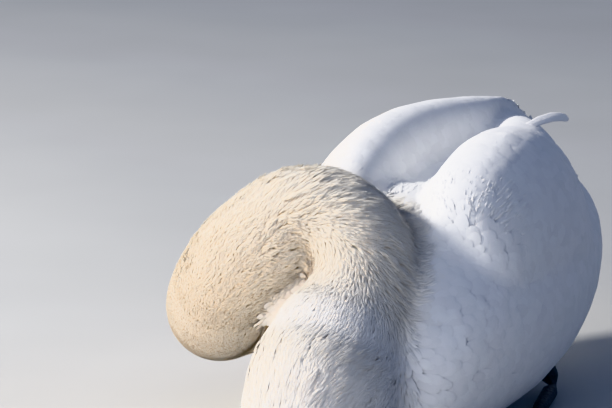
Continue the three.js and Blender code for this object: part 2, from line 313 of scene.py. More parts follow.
# %% [markdown]
# The head is laid back along the flank upside down, so its pieces would be hard to place by the room's own
# axes. They are shaped in the head's frame instead, where the bill points to -Y and the crown is up, and
# then turned into place.

# %% The head's own frame, and sizes shared by its pieces
HEAD_CENTRE = MM * np.array((-197.0, -8.0, 80.0))
HEAD_BACK = -unit(np.array((0.2, 0.97, -0.13)))
HEAD_CROWN = np.array((-0.6, -0.1, -0.79))
HEAD_UP = unit(HEAD_CROWN - HEAD_BACK * (HEAD_CROWN @ HEAD_BACK))
HEAD_LEFT = np.cross(HEAD_BACK, HEAD_UP)
HEAD_AXES = np.stack([HEAD_LEFT, HEAD_BACK, HEAD_UP])
EYE_RADIUS = 6.6 * MM
EYE_PLACE = MM * np.array((26.5, -12.0, 8.0))  # the left eye's
BILL_ROOT = -46 * MM  # along Y
BILL_TIP = BILL_ROOT - 84 * MM


def in_head(points):
    """Points in the head's own frame: the bill towards -Y, the crown +Z, the swan's left +X."""
    return (points - HEAD_CENTRE) @ HEAD_AXES.T


def from_head(points):
    return points @ HEAD_AXES + HEAD_CENTRE


print("the crown faces", HEAD_UP.round(2))

# %% [markdown]
# Under the feathers a bird has one skin. It could be modelled from nothing, but the frame already has the
# true outline, in faceted pieces parted by hairline gaps. So copies of the fleshy pieces are joined,
# remeshed into one closed surface that bridges the gaps, and smoothed until no facet or seam is left.

# %% One skin from the frame's solids
NECK_NODES = ["neck_root", "neck_rise", "neck_arch", "neck_fall"]
FLESH = ["trunk", "tail", "wing_left", "wing_right", "wing_tip_left", "wing_tip_right", *NECK_NODES, "head"]
SKIN_VOXEL = 4.4 * MM
FINE_ROUND_EYES = 15 * MM  # the skin is subdivided as far as this from an eye's middle, for the lids

skin = copy_of(FLESH, "skin")
apply_modifier(skin, "REMESH", mode="VOXEL", voxel_size=SKIN_VOXEL)
apply_modifier(skin, "SMOOTH", factor=0.5, iterations=14)
eyes = [Vector(from_head(EYE_PLACE * (side, 1, 1))) for side in SIDE_NAMES]
with editing(skin) as shape:
    bpy.ops.mesh.select_all(action="DESELECT")
    min(shape.verts, key=lambda point: point.co.z).select = True  # under the belly
    bpy.ops.mesh.select_linked()
    bpy.ops.mesh.select_all(action="INVERT")
    bpy.ops.mesh.delete(type="VERT")  # crumbs that the remesh left at the thin tips
    near_eye = lambda place: min((place - eye).length for eye in eyes) < FINE_ROUND_EYES
    pick(bmesh.from_edit_mesh(skin.data), near_eye)
    bmesh.update_edit_mesh(skin.data)
    bpy.ops.mesh.subdivide(number_cuts=4, smoothness=1.0)
apply_modifier(skin, "TRIANGULATE")
print("skin:", len(skin.data.vertices), "points,", len(skin.data.polygons), "faces")

# %% Which part of the bird each point of the skin belongs to
PARTS = ["trunk", "tail", "wing", "wing_tip", "neck", "head"]


def part_number(name):
    """Where a node's name comes in PARTS. The last match counts, as a wing tip is also called a wing."""
    return next(i for i in reversed(range(len(PARTS))) if name.startswith(PARTS[i]))


solid_points, solid_faces, solid_part = [], [], []
for name in FLESH:
    mesh = frame["nodes"][name].data
    first = len(solid_points)
    solid_points += [v.co.copy() for v in mesh.vertices]
    solid_faces += [[first + i for i in polygon.vertices] for polygon in mesh.polygons]
    solid_part += [part_number(name)] * len(mesh.polygons)
solids = BVHTree.FromPolygons(solid_points, solid_faces)
outline_points = points_of(skin)
part = np.array([solid_part[solids.find_nearest(p)[2]] for p in outline_points.tolist()])
print({PARTS[i]: int((part == i).sum()) for i in range(len(PARTS))})

# %% [markdown]
# Everything on the neck goes by its centre line: how far along it a feather grows, and which way is down
# the neck. A spline through a few places gives that line, and each point of the skin looks up the nearest
# place on it.

# %% The centre line of the neck
NECK_LINE = MM * np.array([
    (-34, -238, -2), (-37, -272, 34), (-36, -284, 80), (-30, -250, 126), (-24, -217, 168), (-27, -199, 202),
    (-48, -190, 234), (-84, -190, 246), (-123, -198, 225), (-162, -197, 187), (-194, -167, 143),
    (-210, -122, 112), (-214, -80, 92), (-208, -40, 84),
])


SPAN_STEPS = 16  # steps of the curve from one given place to the next


def spline(points, count):
    """Even steps along a centripetal Catmull-Rom spline, and the way it runs at each."""
    ends = np.vstack([2 * points[0] - points[1], points, 2 * points[-1] - points[-2]])
    line = []
    for span in range(len(points) - 1):
        a, b, c, d = ends[span:span + 4]
        knots = np.cumsum([0.0] + [math.sqrt(np.linalg.norm(q - p)) for p, q in ((a, b), (b, c), (c, d))])
        for t in np.linspace(knots[1], knots[2], SPAN_STEPS, endpoint=False):
            mix = lambda p, q, i, j: p + (q - p) * (t - knots[i]) / (knots[j] - knots[i])
            ab, bc, cd = mix(a, b, 0, 1), mix(b, c, 1, 2), mix(c, d, 2, 3)
            line.append(mix(mix(ab, bc, 0, 2), mix(bc, cd, 1, 3), 1, 2))
    line = np.array(line + [points[-1]])
    reach = np.concatenate([[0], np.cumsum(np.linalg.norm(np.diff(line, axis=0), axis=1))])
    even = np.linspace(0, reach[-1], count)
    line = np.stack([np.interp(even, reach, line[:, i]) for i in range(3)], axis=1)
    return line, unit(np.gradient(line, axis=0))


neck_line, neck_way = spline(NECK_LINE, 241)  # a place every 3 to 4 mm
neck_length = np.linalg.norm(np.diff(neck_line, axis=0), axis=1).sum()
print("neck line", round(neck_length, 3), "m")

# %% [markdown]
# The skin lies inside the outline by the depth of the plumage, which is about three millimetres on the face
# and up to nine on the body. Moving every point inward along its normal does that. Thin parts are moved by
# a share of their thickness, or they would turn inside out. Two places go the other way: the mantle bridges
# the hollow between the bends of the wings, as a bird's loose back feathers do, and a shallow fold of
# plumage runs over the near wing.

# %% Even out values over the skin
edges = np.empty(len(skin.data.edges) * 2, dtype=np.int64)
skin.data.edges.foreach_get("vertices", edges)
edges = edges.reshape(-1, 2)
edge_count = np.bincount(edges.ravel(), minlength=len(part)).astype(float)


def spread(values, rounds):
    """Evens out values at the skin's points by taking the mean with their neighbours'."""
    values = np.asarray(values, dtype=float)
    columns = values.reshape(len(values), -1)
    for _ in range(rounds):
        total = np.stack([
            np.bincount(edges[:, 0], columns[edges[:, 1], i], len(columns))
            + np.bincount(edges[:, 1], columns[edges[:, 0], i], len(columns))
            for i in range(columns.shape[1])
        ], axis=1)
        columns = (columns + total) / (1 + edge_count[:, None])
    return columns.reshape(values.shape)


print(len(edges), "edges to even values out along")

# %% How deep the plumage is, and where it is built up
PLUMAGE_DEPTH = MM * np.array([9.0, 5.0, 7.5, 5.0, 8.0, 2.6])  # trunk, tail, wing, wing tip, neck, head
NECK_DEPTH = [(0.0, 0.4, 0.55, 0.75, 1.0), (7.5, 6.5, 4.5, 3.2, 2.6)]  # along the neck, mm
THIN_SHARE = 0.28  # no point is drawn in by more than this share of the thickness under it
SKIN_REAR = 462 * MM  # behind this the tips of the tail are quill alone
REAR_SHARE = 0.85  # how much of what lies behind it is taken away
MANTLE_FILL = 26 * MM  # the most that the mantle is built up
MANTLE_MIDDLE = 4  # across, mm
FOLD = np.array(((74.0, -17.0, 314.0), (103.0, -8.0, 301.0)))  # the fold's ends, mm
FOLD_HEIGHT, FOLD_WIDTH = 4 * MM, 5.0  # its width in mm


def nearest_on_neck(points):
    """The place on the neck's centre line next to each point."""
    nearest = np.empty(len(points), dtype=int)
    for first in range(0, len(points), 4000):
        away = points[first:first + 4000, None] - neck_line[None]
        nearest[first:first + 4000] = (away ** 2).sum(-1).argmin(-1)
    return nearest


print("plumage", PLUMAGE_DEPTH.min() / MM, "to", PLUMAGE_DEPTH.max() / MM, "mm deep")

# %% [markdown]
# A bird's lids are skin. A thin rim hugs the eyeball, a groove runs behind it and a soft fold lies round
# that. They could be rings of their own, but then a seam would show, so the skin itself is pressed into
# that shape.

# %% The lids
LID_LENGTH, LID_HEIGHT = 5.5 * MM, 4.5 * MM  # half the opening between the lids
LID_THICKNESS = 0.7 * MM
OPENING_SINK = 2.6 * MM  # between the lids, the skin lies this far under the eyeball's surface


def reach_from_eye(points):
    """How far points are from an eye's middle, along the head's side: 1 at the edge of the lids."""
    reach = np.full(len(points), 99.0)
    for side in SIDE_NAMES:
        local = in_head(points) - EYE_PLACE * (side, 1, 1)
        here = np.hypot(local[:, 1] / LID_LENGTH, local[:, 2] / LID_HEIGHT)
        on_side = (local[:, 0] * side > -12 * MM) & (in_head(points)[:, 0] * side > 0)
        reach = np.where(on_side & (here < 6), np.minimum(reach, here), reach)
    return reach


def shape_lids(points):
    """Presses the skin round each eye into a rim that hugs the ball, a groove and a fold."""
    moved = points.copy()
    for side in SIDE_NAMES:
        local = in_head(points) - EYE_PLACE * (side, 1, 1)
        reach = np.hypot(local[:, 1] / LID_LENGTH, local[:, 2] / LID_HEIGHT)
        chosen = (reach < 4) & (in_head(points)[:, 0] * side > 0)
        out = local[:, 0] * side
        at_edge = (reach > 0.86) & (reach < 1.1)
        local[at_edge, 1:] /= reach[at_edge, None]
        reach = np.where(at_edge, 1.0, reach)
        aside = np.hypot(local[:, 1], local[:, 2])
        shell = np.sqrt(np.maximum((EYE_RADIUS + LID_THICKNESS) ** 2 - aside ** 2, (2.2 * MM) ** 2))
        inside = np.sqrt(np.maximum(EYE_RADIUS ** 2 - aside ** 2, 0)) - OPENING_SINK
        hug = 1 - smooth(reach, 1.05, 1.9)
        fold = 0.55 * MM * near_ring(reach, 1.95, 0.2) - 0.45 * MM * near_ring(reach, 1.55, 0.16)
        rim = 0.35 * MM * near_ring(reach, 1.12, 0.12)
        lid = shell * hug + out * (1 - hug) + fold + rim
        out = np.where(reach < 0.99, inside, lid)
        local[:, 0] = out * side
        moved = np.where(chosen[:, None], from_head(local + EYE_PLACE * (side, 1, 1)), moved)
    return moved


print("lids open", 2 * LID_LENGTH / MM, "by", 2 * LID_HEIGHT / MM, "mm")

# %% Draw the skin in by the depth of the plumage
normals = normals_of(skin)
outline = BVHTree.FromObject(skin, bpy.context.evaluated_depsgraph_get())
thickness = []
for place, normal in zip(outline_points.tolist(), normals.tolist()):
    inward = -Vector(normal)
    hit = outline.ray_cast(Vector(place) + inward * MM, inward)
    thickness.append(hit[3] if hit[0] else 1.0)
along_neck = nearest_on_neck(outline_points) / (len(neck_line) - 1)
depth = np.where(part == PARTS.index("neck"), MM * np.interp(along_neck, *NECK_DEPTH), PLUMAGE_DEPTH[part])
depth = np.minimum(depth, THIN_SHARE * np.array(thickness))
depth = spread(depth, 8)

# The feathers of the mantle bridge the hollow between the two bends, and a fold runs over the near wing.
x, y, z = outline_points.T / MM
mantle = (1 - smooth(np.abs(x - MANTLE_MIDDLE), 40, 75)) * smooth(z, 200, 235)
mantle *= smooth(y, -172, -140) * (1 - smooth(y, -96, -24))
bridged = ((spread(outline_points, 150) - outline_points) * normals).sum(1)
filled = spread(np.clip(1.6 * bridged, 0, MANTLE_FILL) * mantle, 4)
fold_at = np.clip((x - FOLD[0][0]) / (FOLD[1][0] - FOLD[0][0]), 0, 1)
fold_gap = np.linalg.norm(outline_points / MM - (FOLD[0] + fold_at[:, None] * (FOLD[1] - FOLD[0])), axis=1)
fold = FOLD_HEIGHT * near_ring(fold_gap, 0, FOLD_WIDTH)
drawn_in = outline_points - normals * (depth - filled - fold)[:, None]
beyond = np.maximum(drawn_in[:, 1] - SKIN_REAR, 0)
drawn_in[:, 1] -= REAR_SHARE * beyond
set_points(skin, drawn_in)
apply_modifier(skin, "SMOOTH", factor=0.5, iterations=4)
skin_points = points_of(skin)
lid_reach = reach_from_eye(skin_points)
set_points(skin, shape_lids(skin_points))
print("plumage depth", (depth.min() / MM).round(1), "to", (depth.max() / MM).round(1), "mm")

# %% [markdown]
# Feathers lie in one flowing direction: back from the bill over the face, down the neck, and from the
# breast and the bend of the wing towards the tail. That lie is kept as one arrow at each point of the skin.
# It is set part by part and then evened out, so it turns gently from part to part. The sizes of the
# feathers are kept in the same way.

# %% The lie of the plumage
skin_points = points_of(skin)
skin_normals = normals_of(skin)
nearest = nearest_on_neck(skin_points)
along_neck = nearest / (len(neck_line) - 1)  # 0 at the ground, 1 in the back of the head
is_part = {name: part == i for i, name in enumerate(PARTS)}

BREAST_POLE = MM * np.array((-20.0, -262.0, 110.0))
WRIST_POLE = MM * np.array((92.0, -168.0, 212.0))
side = np.where(skin_points[:, :1] > 0, 1.0, -1.0)
wrist = WRIST_POLE * np.hstack([side, np.ones_like(side), np.ones_like(side)])

BACKWARD = np.array((0.0, 1.0, -0.08))
FROM_POLE = 0.65  # how strongly the feathers fan out from the breast and from the bend of the wing
SWEEP_PULL = 1.9  # how strongly those of the neck sweep outward
lie = np.tile(BACKWARD, (len(skin_points), 1))
lie[is_part["trunk"]] += FROM_POLE * unit(skin_points - BREAST_POLE)[is_part["trunk"]]
lie[is_part["wing"]] += FROM_POLE * unit(skin_points - wrist)[is_part["wing"]]
lie[is_part["neck"]] = -neck_way[nearest][is_part["neck"]]
lie[is_part["head"]] = HEAD_BACK

# Low on the neck, over the outer side of its bend, the feathers sweep round towards the nape.
bend = np.gradient(neck_way, axis=0)
window = np.ones(25) / 25  # the bend is evened out over a tenth of the neck
bend = np.stack([np.convolve(bend[:, i], window, mode="same") for i in range(3)], axis=1)
outward = -unit(bend)[nearest]
nape_side = smooth((skin_normals * outward).sum(1), -0.3, 0.6)
sweep = smooth(along_neck, 0.1, 0.24) * (1 - smooth(along_neck, 0.40, 0.62)) * nape_side * is_part["neck"]
lie = unit(lie) + SWEEP_PULL * sweep[:, None] * outward
lie -= skin_normals * (lie * skin_normals).sum(1, keepdims=True)
lie = spread(unit(lie), 14)
lie = unit(lie - skin_normals * (lie * skin_normals).sum(1, keepdims=True))
print("arrows:", len(lie))

# %% Sizes of the feathers, at every point of the skin
backness = smooth(skin_points[:, 1], -0.22, 0.10)
fan = lambda low, high: low + (high - low) * backness
up_neck = lambda *stops: np.interp(along_neck, (0.0, 0.35, 0.5, 0.7, 1.0), stops)
SIZES = {  # spacing, length and width in mm
    "trunk": (fan(6.2, 8.6), fan(36, 52), fan(15, 23)),
    "tail": (8.0, 42, 17),
    "wing": (fan(6.0, 8.4), fan(34, 50), fan(15, 23)),
    "wing_tip": (8.0, 40, 15),
    "neck": (up_neck(2.8, 2.4, 1.95, 1.7, 1.6), up_neck(15, 13, 9.5, 8.5, 7.5) * (1 + 0.5 * sweep),
             up_neck(4.0, 3.1, 2.3, 1.9, 1.6)),
    "head": (1.5, 5.6, 1.5),
}
RIDGE_SHRINK = np.array((0.3, 0.42, 0.45))  # feathers are smaller over the sharp rear of a wing's ridge

sizes = np.zeros((len(part), 3))
for name, columns in SIZES.items():
    for i, column in enumerate(columns):
        sizes[is_part[name], i] = np.broadcast_to(column, part.shape)[is_part[name]]
on_ridge = (is_part["wing"] | is_part["wing_tip"]) * smooth(skin_points[:, 1], 0.08, 0.16)
on_ridge = on_ridge * (1 - smooth(skin_normals[:, 0] * side[:, 0], 0.35, 0.75))
sizes *= 1 - on_ridge[:, None] * RIDGE_SHRINK
sizes = spread(sizes, 10) * MM
depth = spread(depth, 4)
print("spacing", (sizes[:, 0].min() / MM).round(1), "to", (sizes[:, 0].max() / MM).round(1), "mm")

# %% The stain with painted shade on the nape's side, the bare skin and the ruffled places
# The rusty cream stain comes in from a fifth to half of the way up the neck. It comes in lower on the
# nape's side, and that part is painted shade: the warmer cream stands for the warm shade on that side.
stain = smooth(along_neck + 0.14 * nape_side, 0.22, 0.44) * (is_part["neck"] | is_part["head"])
stain = spread(stain.astype(float), 10)
attribute(skin, "stain", stain)

# Bare black skin runs from the root of the bill to the eye, in a wedge, and rings the eye.
at_head = in_head(skin_points) / MM
to_bill = np.clip((-18 - at_head[:, 1]) / 26, 0, 1)
wedge = (at_head[:, 1] < -14) & (at_head[:, 2] < 9 + 4 * to_bill) & (at_head[:, 2] > 6.5 - 14 * to_bill)
bare = ((wedge & (np.abs(at_head[:, 0]) > 4) | (lid_reach < 1.5)) & is_part["head"]).astype(float)
attribute(skin, "bare", np.maximum(spread(bare, 1), (lid_reach < 1.35) * 1.0))

# How far the feathers stand out of their lie: most over the arch of the neck, a little on the shoulders.
RUFFLED_SHOULDERS = [  # middle and reach, mm
    ((108, -128, 254), 38), ((55, -142, 262), 40), ((-10, -90, 265), 36),
]
fluffed = smooth(along_neck, 0.44, 0.54) * (1 - smooth(along_neck, 0.64, 0.78)) * (1 - 0.35 * nape_side)
ruffle = is_part["neck"] * (0.05 + 0.58 * fluffed) + 0.38 * sweep
fringed = np.zeros(len(part), dtype=bool)
for middle, radius in RUFFLED_SHOULDERS:
    gap = np.linalg.norm(skin_points - MM * np.array(middle), axis=1)
    ruffle = np.maximum(ruffle, 0.25 * (1 - smooth(gap, 0.3 * radius * MM, radius * MM)))
    fringed |= gap < 0.8 * radius * MM
ruffle = spread(ruffle, 6)
print("stain_and_shade_amount", (stain > 0.5).mean().round(2), "bare", bare.mean().round(3), "of the skin's points")

# %% [markdown]
# Every feather also needs a place on a flat map of the skin, so that colours baked into an image stay
# sorted. The skin is unwrapped once, by its own shape, and each feather takes the small patch of the map
# where its root is.

# %% Unwrap the skin
with editing(skin):
    bpy.ops.uv.smart_project(angle_limit=math.radians(66), island_margin=0.004)
skin.data.uv_layers.active.name = "OFBake"

faces = np.empty(len(skin.data.polygons) * 3, dtype=np.int64)
skin.data.polygons.foreach_get("vertices", faces)
faces = faces.reshape(-1, 3)
skin_map = np.empty(len(skin.data.loops) * 2)
skin.data.uv_layers["OFBake"].data.foreach_get("uv", skin_map)
skin_map = skin_map.reshape(-1, 3, 2)
skin_tree = BVHTree.FromPolygons(skin_points.tolist(), faces.tolist())
corners = skin_points[faces]
face_area = np.linalg.norm(np.cross(corners[:, 1] - corners[:, 0], corners[:, 2] - corners[:, 0]), axis=1) / 2
print("skin area", round(face_area.sum(), 3), "m2")

# %% [markdown]
# Roots are scattered so that no two stand closer than their spacing, as feathers do. Random points are
# tried in turn, and one is kept if nothing kept before it is too near. A grid of cells makes that quick to
# look up.

# %% Scatter the roots of the feathers
class Roots:
    """Feather roots: places on the skin, with all that the skin knows there."""

    def __init__(self, face, share):
        on = faces[face]
        mean = lambda values: (values[on] * share.reshape(share.shape + (1,) * (values.ndim - 1))).sum(1)
        self.place = mean(skin_points)
        self.normal = unit(mean(skin_normals))
        self.lie = unit(mean(lie))
        self.size = mean(sizes)
        self.depth = mean(depth)
        self.stain = mean(stain)
        self.ruffle = mean(ruffle)
        self.along_neck = mean(along_neck)
        self.part = part[on[:, 0]]
        self.map = (skin_map[face] * share[..., None]).sum(1)

    def keep(self, chosen):
        for key, values in list(self.__dict__.items()):
            setattr(self, key, values[chosen])
        return self

    def __len__(self):
        return len(self.place)


def scatter(face_chosen, closer=1.0, tries=3.2):
    """Roots over the chosen faces, at `closer` times the spacing kept there."""
    spacing = sizes[faces, 0].mean(1) * closer
    wanted = np.where(face_chosen, tries * face_area / spacing ** 2, 0)
    count = rng.poisson(wanted)
    face = rng.permutation(np.repeat(np.arange(len(faces)), count))
    share = rng.dirichlet((1, 1, 1), len(face))
    places = (skin_points[faces[face]] * share[..., None]).sum(1)
    radius = spacing[face]
    cell = radius.max()
    cells, kept = {}, []
    keys = np.floor(places / cell).astype(int).tolist()
    near = [(i, j, k) for i in (-1, 0, 1) for j in (-1, 0, 1) for k in (-1, 0, 1)]
    for index, ((x, y, z), r, (a, b, c)) in enumerate(zip(places.tolist(), radius.tolist(), keys)):
        limit = r * r
        crowded = False
        for i, j, k in near:
            for px, py, pz in cells.get((a + i, b + j, c + k), ()):
                if (px - x) ** 2 + (py - y) ** 2 + (pz - z) ** 2 < limit:
                    crowded = True
                    break
            if crowded:
                break
        if not crowded:
            cells.setdefault((a, b, c), []).append((x, y, z))
            kept.append(index)
    return Roots(face[kept], share[kept])


print("ready to scatter")

# %% [markdown]
# A feather is modelled once: a flat grid is given its outline row by row and arched across. The tip of a
# tuft is then split into a few points, because soft barbs part there, while a contour feather keeps its
# rounded tip. The grid's points are read as a pattern (across, along, up), and arrays lay thousands of
# copies of it along the skin. Copies by an array modifier would all be alike and couldn't bend with the
# body.

# %% Model one vane
SAME_PLACE = 1e-4  # on the pattern, which is one unit long
ASIDE = 10  # a row that is done waits this far off, so that no later row is picked with it


def feather_grid(rows, columns, height):
    """A grid along +Y, shaped by (along, half width, arch) rows; `height` gives a point's rise."""
    bpy.ops.object.select_all(action="DESELECT")
    bpy.ops.mesh.primitive_grid_add(x_subdivisions=columns, y_subdivisions=len(rows) - 1, size=1)
    grid = bpy.context.view_layer.objects.active
    with editing(grid) as shape:
        for row, (along, half_width, arch) in enumerate(rows):
            grid_row = row / (len(rows) - 1) - 0.5
            pick(shape, lambda place: abs(place.y - grid_row) < SAME_PLACE)
            bpy.ops.transform.resize(value=(2 * half_width, 1, 1), center_override=(0, 0, 0))
            bpy.ops.transform.translate(value=(0, ASIDE + along - grid_row, 0))
            for point in shape.verts:
                if point.select:
                    point.co.z = height(point.co.x / half_width, along, arch)
        bpy.ops.mesh.select_all(action="SELECT")
        bpy.ops.transform.translate(value=(0, -ASIDE, 0))
    return grid


def take_pattern(obj):
    """The points and triangles of a modelled piece, which is then removed."""
    pattern = points_of(obj), np.array([list(face.vertices) for face in obj.data.polygons])
    bpy.data.objects.remove(obj)
    return pattern


def model_vane(rows, columns, split_rows=1, spread_tips=0.0):
    """A feather's vane; its last rows can be split into separate points."""
    vane = feather_grid(rows, columns, lambda share, along, arch: arch * (1 - share ** 2))
    first_split, tip = rows[len(rows) - 1 - split_rows][0], rows[-1][0]
    with editing(vane) as pattern:
        parted = [
            edge for edge in pattern.edges
            if abs(edge.verts[0].co.y - edge.verts[1].co.y) > SAME_PLACE and len(edge.link_faces) == 2
            and min(point.co.y for point in edge.verts) > first_split - SAME_PLACE
        ]
        bmesh.ops.split_edges(pattern, edges=parted)
        at_tip = lambda point: point.co.y > tip - SAME_PLACE
        pointed = [face for face in pattern.faces if any(map(at_tip, face.verts))] if split_rows else []
        for face in pointed:
            ends = list(filter(at_tip, face.verts))
            middle = sum((point.co for point in ends), Vector()) / len(ends)
            middle.x *= 1 + spread_tips
            middle.y -= 0.09 * (middle.x / rows[-2][1]) ** 2  # the outer points are shorter
            bmesh.ops.pointmerge(pattern, verts=ends, merge_co=middle)
        bmesh.ops.triangulate(pattern, faces=pattern.faces[:])
        bmesh.update_edit_mesh(vane.data)
    return take_pattern(vane)


# rows are (along the feather, half width, arch across), as shares of its length and width
TUFT = model_vane([(0, 0.2, 0), (0.5, 0.5, 0.2), (1.0, 0.4, 0.1)], columns=3, spread_tips=0.3)
CONTOUR = model_vane([
    (0, 0.12, 0), (0.25, 0.38, 0.02), (0.55, 0.50, 0.02), (0.8, 0.46, 0.015), (0.93, 0.32, 0.01),
    (1.0, 0.12, 0),
], columns=4, split_rows=0)
for name, (points, triangles) in {"tuft": TUFT, "contour": CONTOUR}.items():
    print(name, len(points), "points,", len(triangles), "triangles")

# %% [markdown]
# To lie along the body a feather has to bend with it. From its root, a path walks over the skin in a few
# steps, each put back onto the surface. The pattern is then bent along that path and lifted off the skin
# towards its tip, so that it rests on the feathers behind it. A large contour feather is also moulded: each
# of its points is pressed onto the skin before it is lifted, or its edges would stand off a curved body
# like shingles.

# %% Lay feathers along the skin
PATCH = 0.003  # the size of a feather's place on the flat map
FLOOR_CLEARANCE = 0.6 * MM
MOULD_REACH = 9 * MM  # a point farther than this from the skin isn't pressed onto it
CREASE = -0.2  # two normals whose product is less than this are on the two sides of a crease
LIE_PULL = 0.35  # how far each step of a path turns to the lie of the plumage there


def on_skin(places):
    """The nearest places on the skin: where they are, on which face, and their share of its corners."""
    found = [skin_tree.find_nearest(place) for place in places.tolist()]
    hit, face = np.array([tuple(f[0]) for f in found]), np.array([f[2] for f in found])
    a, b, c = corners[face].transpose(1, 0, 2)
    full = np.cross(b - a, c - a)
    share = np.stack([(np.cross(q - p, hit - p) * full).sum(1) for p, q in ((b, c), (c, a), (a, b))], axis=1)
    return hit, face, share / share.sum(1, keepdims=True)


def walk(roots, length, steps):
    """A path over the skin from every root: its places, normals and ways."""
    places, normals, ways = [roots.place], [roots.normal], [roots.lie]
    for _ in range(steps):
        place, face, share = on_skin(places[-1] + ways[-1] * (length / steps)[:, None])
        normal = unit((skin_normals[faces[face]] * share[..., None]).sum(1))
        way = ways[-1] + LIE_PULL * lie[faces[face]].mean(1)
        way = unit(way - normal * (way * normal).sum(1, keepdims=True))
        places.append(place)
        normals.append(normal)
        ways.append(way)
    return tuple(np.stack(values, axis=1) for values in (places, normals, ways))


def lay(pattern, path, width, lift, root_lift=0.0, curl=0.0, roll=0.0, droop=0.0, power=1.0, moulded=False):
    """Places of every point of every feather, as (feather, point, xyz).

    A feather rises from root_lift to lift, steeply at first where power is low, and droops at its tip. Roll
    tilts it about its shaft and curl draws its tip aside.
    """
    (across, along, up) = pattern[0].T
    steps = path[0].shape[1] - 1
    step = np.clip((along * steps).astype(int), 0, steps - 1)
    share = (along * steps - step)[None, :, None]
    place, normal, way = (values[:, step] * (1 - share) + values[:, step + 1] * share for values in path)
    normal, way = unit(normal), unit(way)
    sideways = np.cross(way, normal)
    column = lambda value: np.broadcast_to(np.asarray(value, dtype=float), (len(place),))[:, None]
    climb = np.maximum(along, 0) ** power  # a quill's thickness reaches a little behind its root
    rise = column(root_lift) + (column(lift) - column(root_lift)) * climb - column(droop) * along ** 3
    rise = rise + (up + across * column(roll)) * column(width)
    drift = across * column(width) + column(curl) * along ** 2
    spread_out = place + sideways * drift[..., None]
    if moulded:
        hit, face, share = on_skin(spread_out.reshape(-1, 3))
        hit = hit.reshape(spread_out.shape)
        hit_normal = unit((skin_normals[faces[face]] * share[..., None]).sum(1)).reshape(hit.shape)
        near = np.linalg.norm(hit - spread_out, axis=-1, keepdims=True) < MOULD_REACH
        near &= (hit_normal * normal).sum(-1, keepdims=True) > CREASE
        spread_out = np.where(near, hit, spread_out)
        normal = np.where(near, hit_normal, normal)
    laid = spread_out + normal * rise[..., None]
    laid[..., 2] = np.maximum(laid[..., 2], FLOOR_CLEARANCE + 0.25 * MM * along)
    assert np.isfinite(laid).all(), "a feather has no place"
    return laid


print("ready to bend feathers")

# %% Join feathers into one mesh
def feather_mesh(name, pattern, laid, roots_map, values):
    """One mesh of all the feathers, with the map that the bake uses and a map along each vane."""
    count, size = laid.shape[:2]
    triangles = (pattern[1][None] + size * np.arange(count)[:, None, None]).reshape(-1, 3)
    mesh = bpy.data.meshes.new(name)
    mesh.vertices.add(count * size)
    mesh.vertices.foreach_set("co", laid.astype(np.float32).ravel())
    mesh.loops.add(triangles.size)
    mesh.loops.foreach_set("vertex_index", triangles.astype(np.int32).ravel())
    mesh.polygons.add(len(triangles))
    mesh.polygons.foreach_set("loop_start", np.arange(0, triangles.size, 3, dtype=np.int32))
    mesh.polygons.foreach_set("use_smooth", np.ones(len(triangles), dtype=bool))
    mesh.update(calc_edges=True)
    vane = pattern[0][:, :2] + (0.5, 0.0)
    for title, corner in (
        ("OFBake", roots_map[:, None] + PATCH * (vane - 0.5)[None]),
        ("vane", np.broadcast_to(vane, (count, size, 2))),
    ):
        corner = corner.reshape(-1, 2)[triangles.ravel()]
        mesh.uv_layers.new(name=title).data.foreach_set("uv", corner.astype(np.float32).ravel())
    obj = bpy.data.objects.new(name, mesh)
    bpy.context.scene.collection.objects.link(obj)
    for title, value in values.items():
        attribute(obj, title, np.repeat(value, size))
    print(name, count, "feathers,", len(triangles), "triangles")
    return obj


def wander(places, scale, seed):
    """Smooth noise from -1 to 1 at each place; `scale` is the size of its patches."""
    shift = Vector((seed * 7.31, seed * 3.7, seed * 5.13))
    return np.array([noise.noise(Vector(p) / scale + shift) for p in places.tolist()])


print("ready to lay feathers")

# %% [markdown]
# Swan's plumage is matt and soft: its keratin barbs scatter light in every direction, with a faint silky
# sheen along the edges. A body feather runs from pale grey at its base to clean white at its tip, and the
# grey is painted shade for the gaps between feathers. The head and neck carry the rusty cream stain that
# iron in the water leaves, so theirs run from tan to ivory, the tan base again partly painted shade. An
# image could hold the stain, but a number kept at each point does it with no seam, and skin and feathers
# read the same one. On the nape's side that number also carries painted shade.

# %% Plumage and skin materials
DOWN_TUFT = 4.55 * MM  # the size of a tuft of down, which mottles the skin
NECK_VANE, NECK_BARB = 11.2 * MM, 0.8 * MM  # how long a vane is, and from one barb to the next
BODY_VANE, BODY_BARB = 44 * MM, 1.1 * MM
QUILL_VANE, QUILL_BARB = 120 * MM, 0.8 * MM
# Real barbs are 0.3 to 0.5 mm apart. These are drawn coarser, as finer ones would only flicker at life size.
BARE_SKIN = "#1b1918"
# Painted shade: each vane's colour runs darker at its base, which lies in the gaps under other feathers, to
# lighter at its tip. The cream of the second ramp is the stain.
WHITE_BARBS_SHADED_BASE = [(0.0, "#f0f0f1"), (0.45, "#f7f7f7"), (0.8, "#fcfcfb")]  # from a feather's base to its tip
CREAM_BARBS_SHADED_BASE = [(0.0, "#dfcba6"), (0.35, "#eee2cc"), (0.7, "#f5efe3"), (1.0, "#faf7f0")]


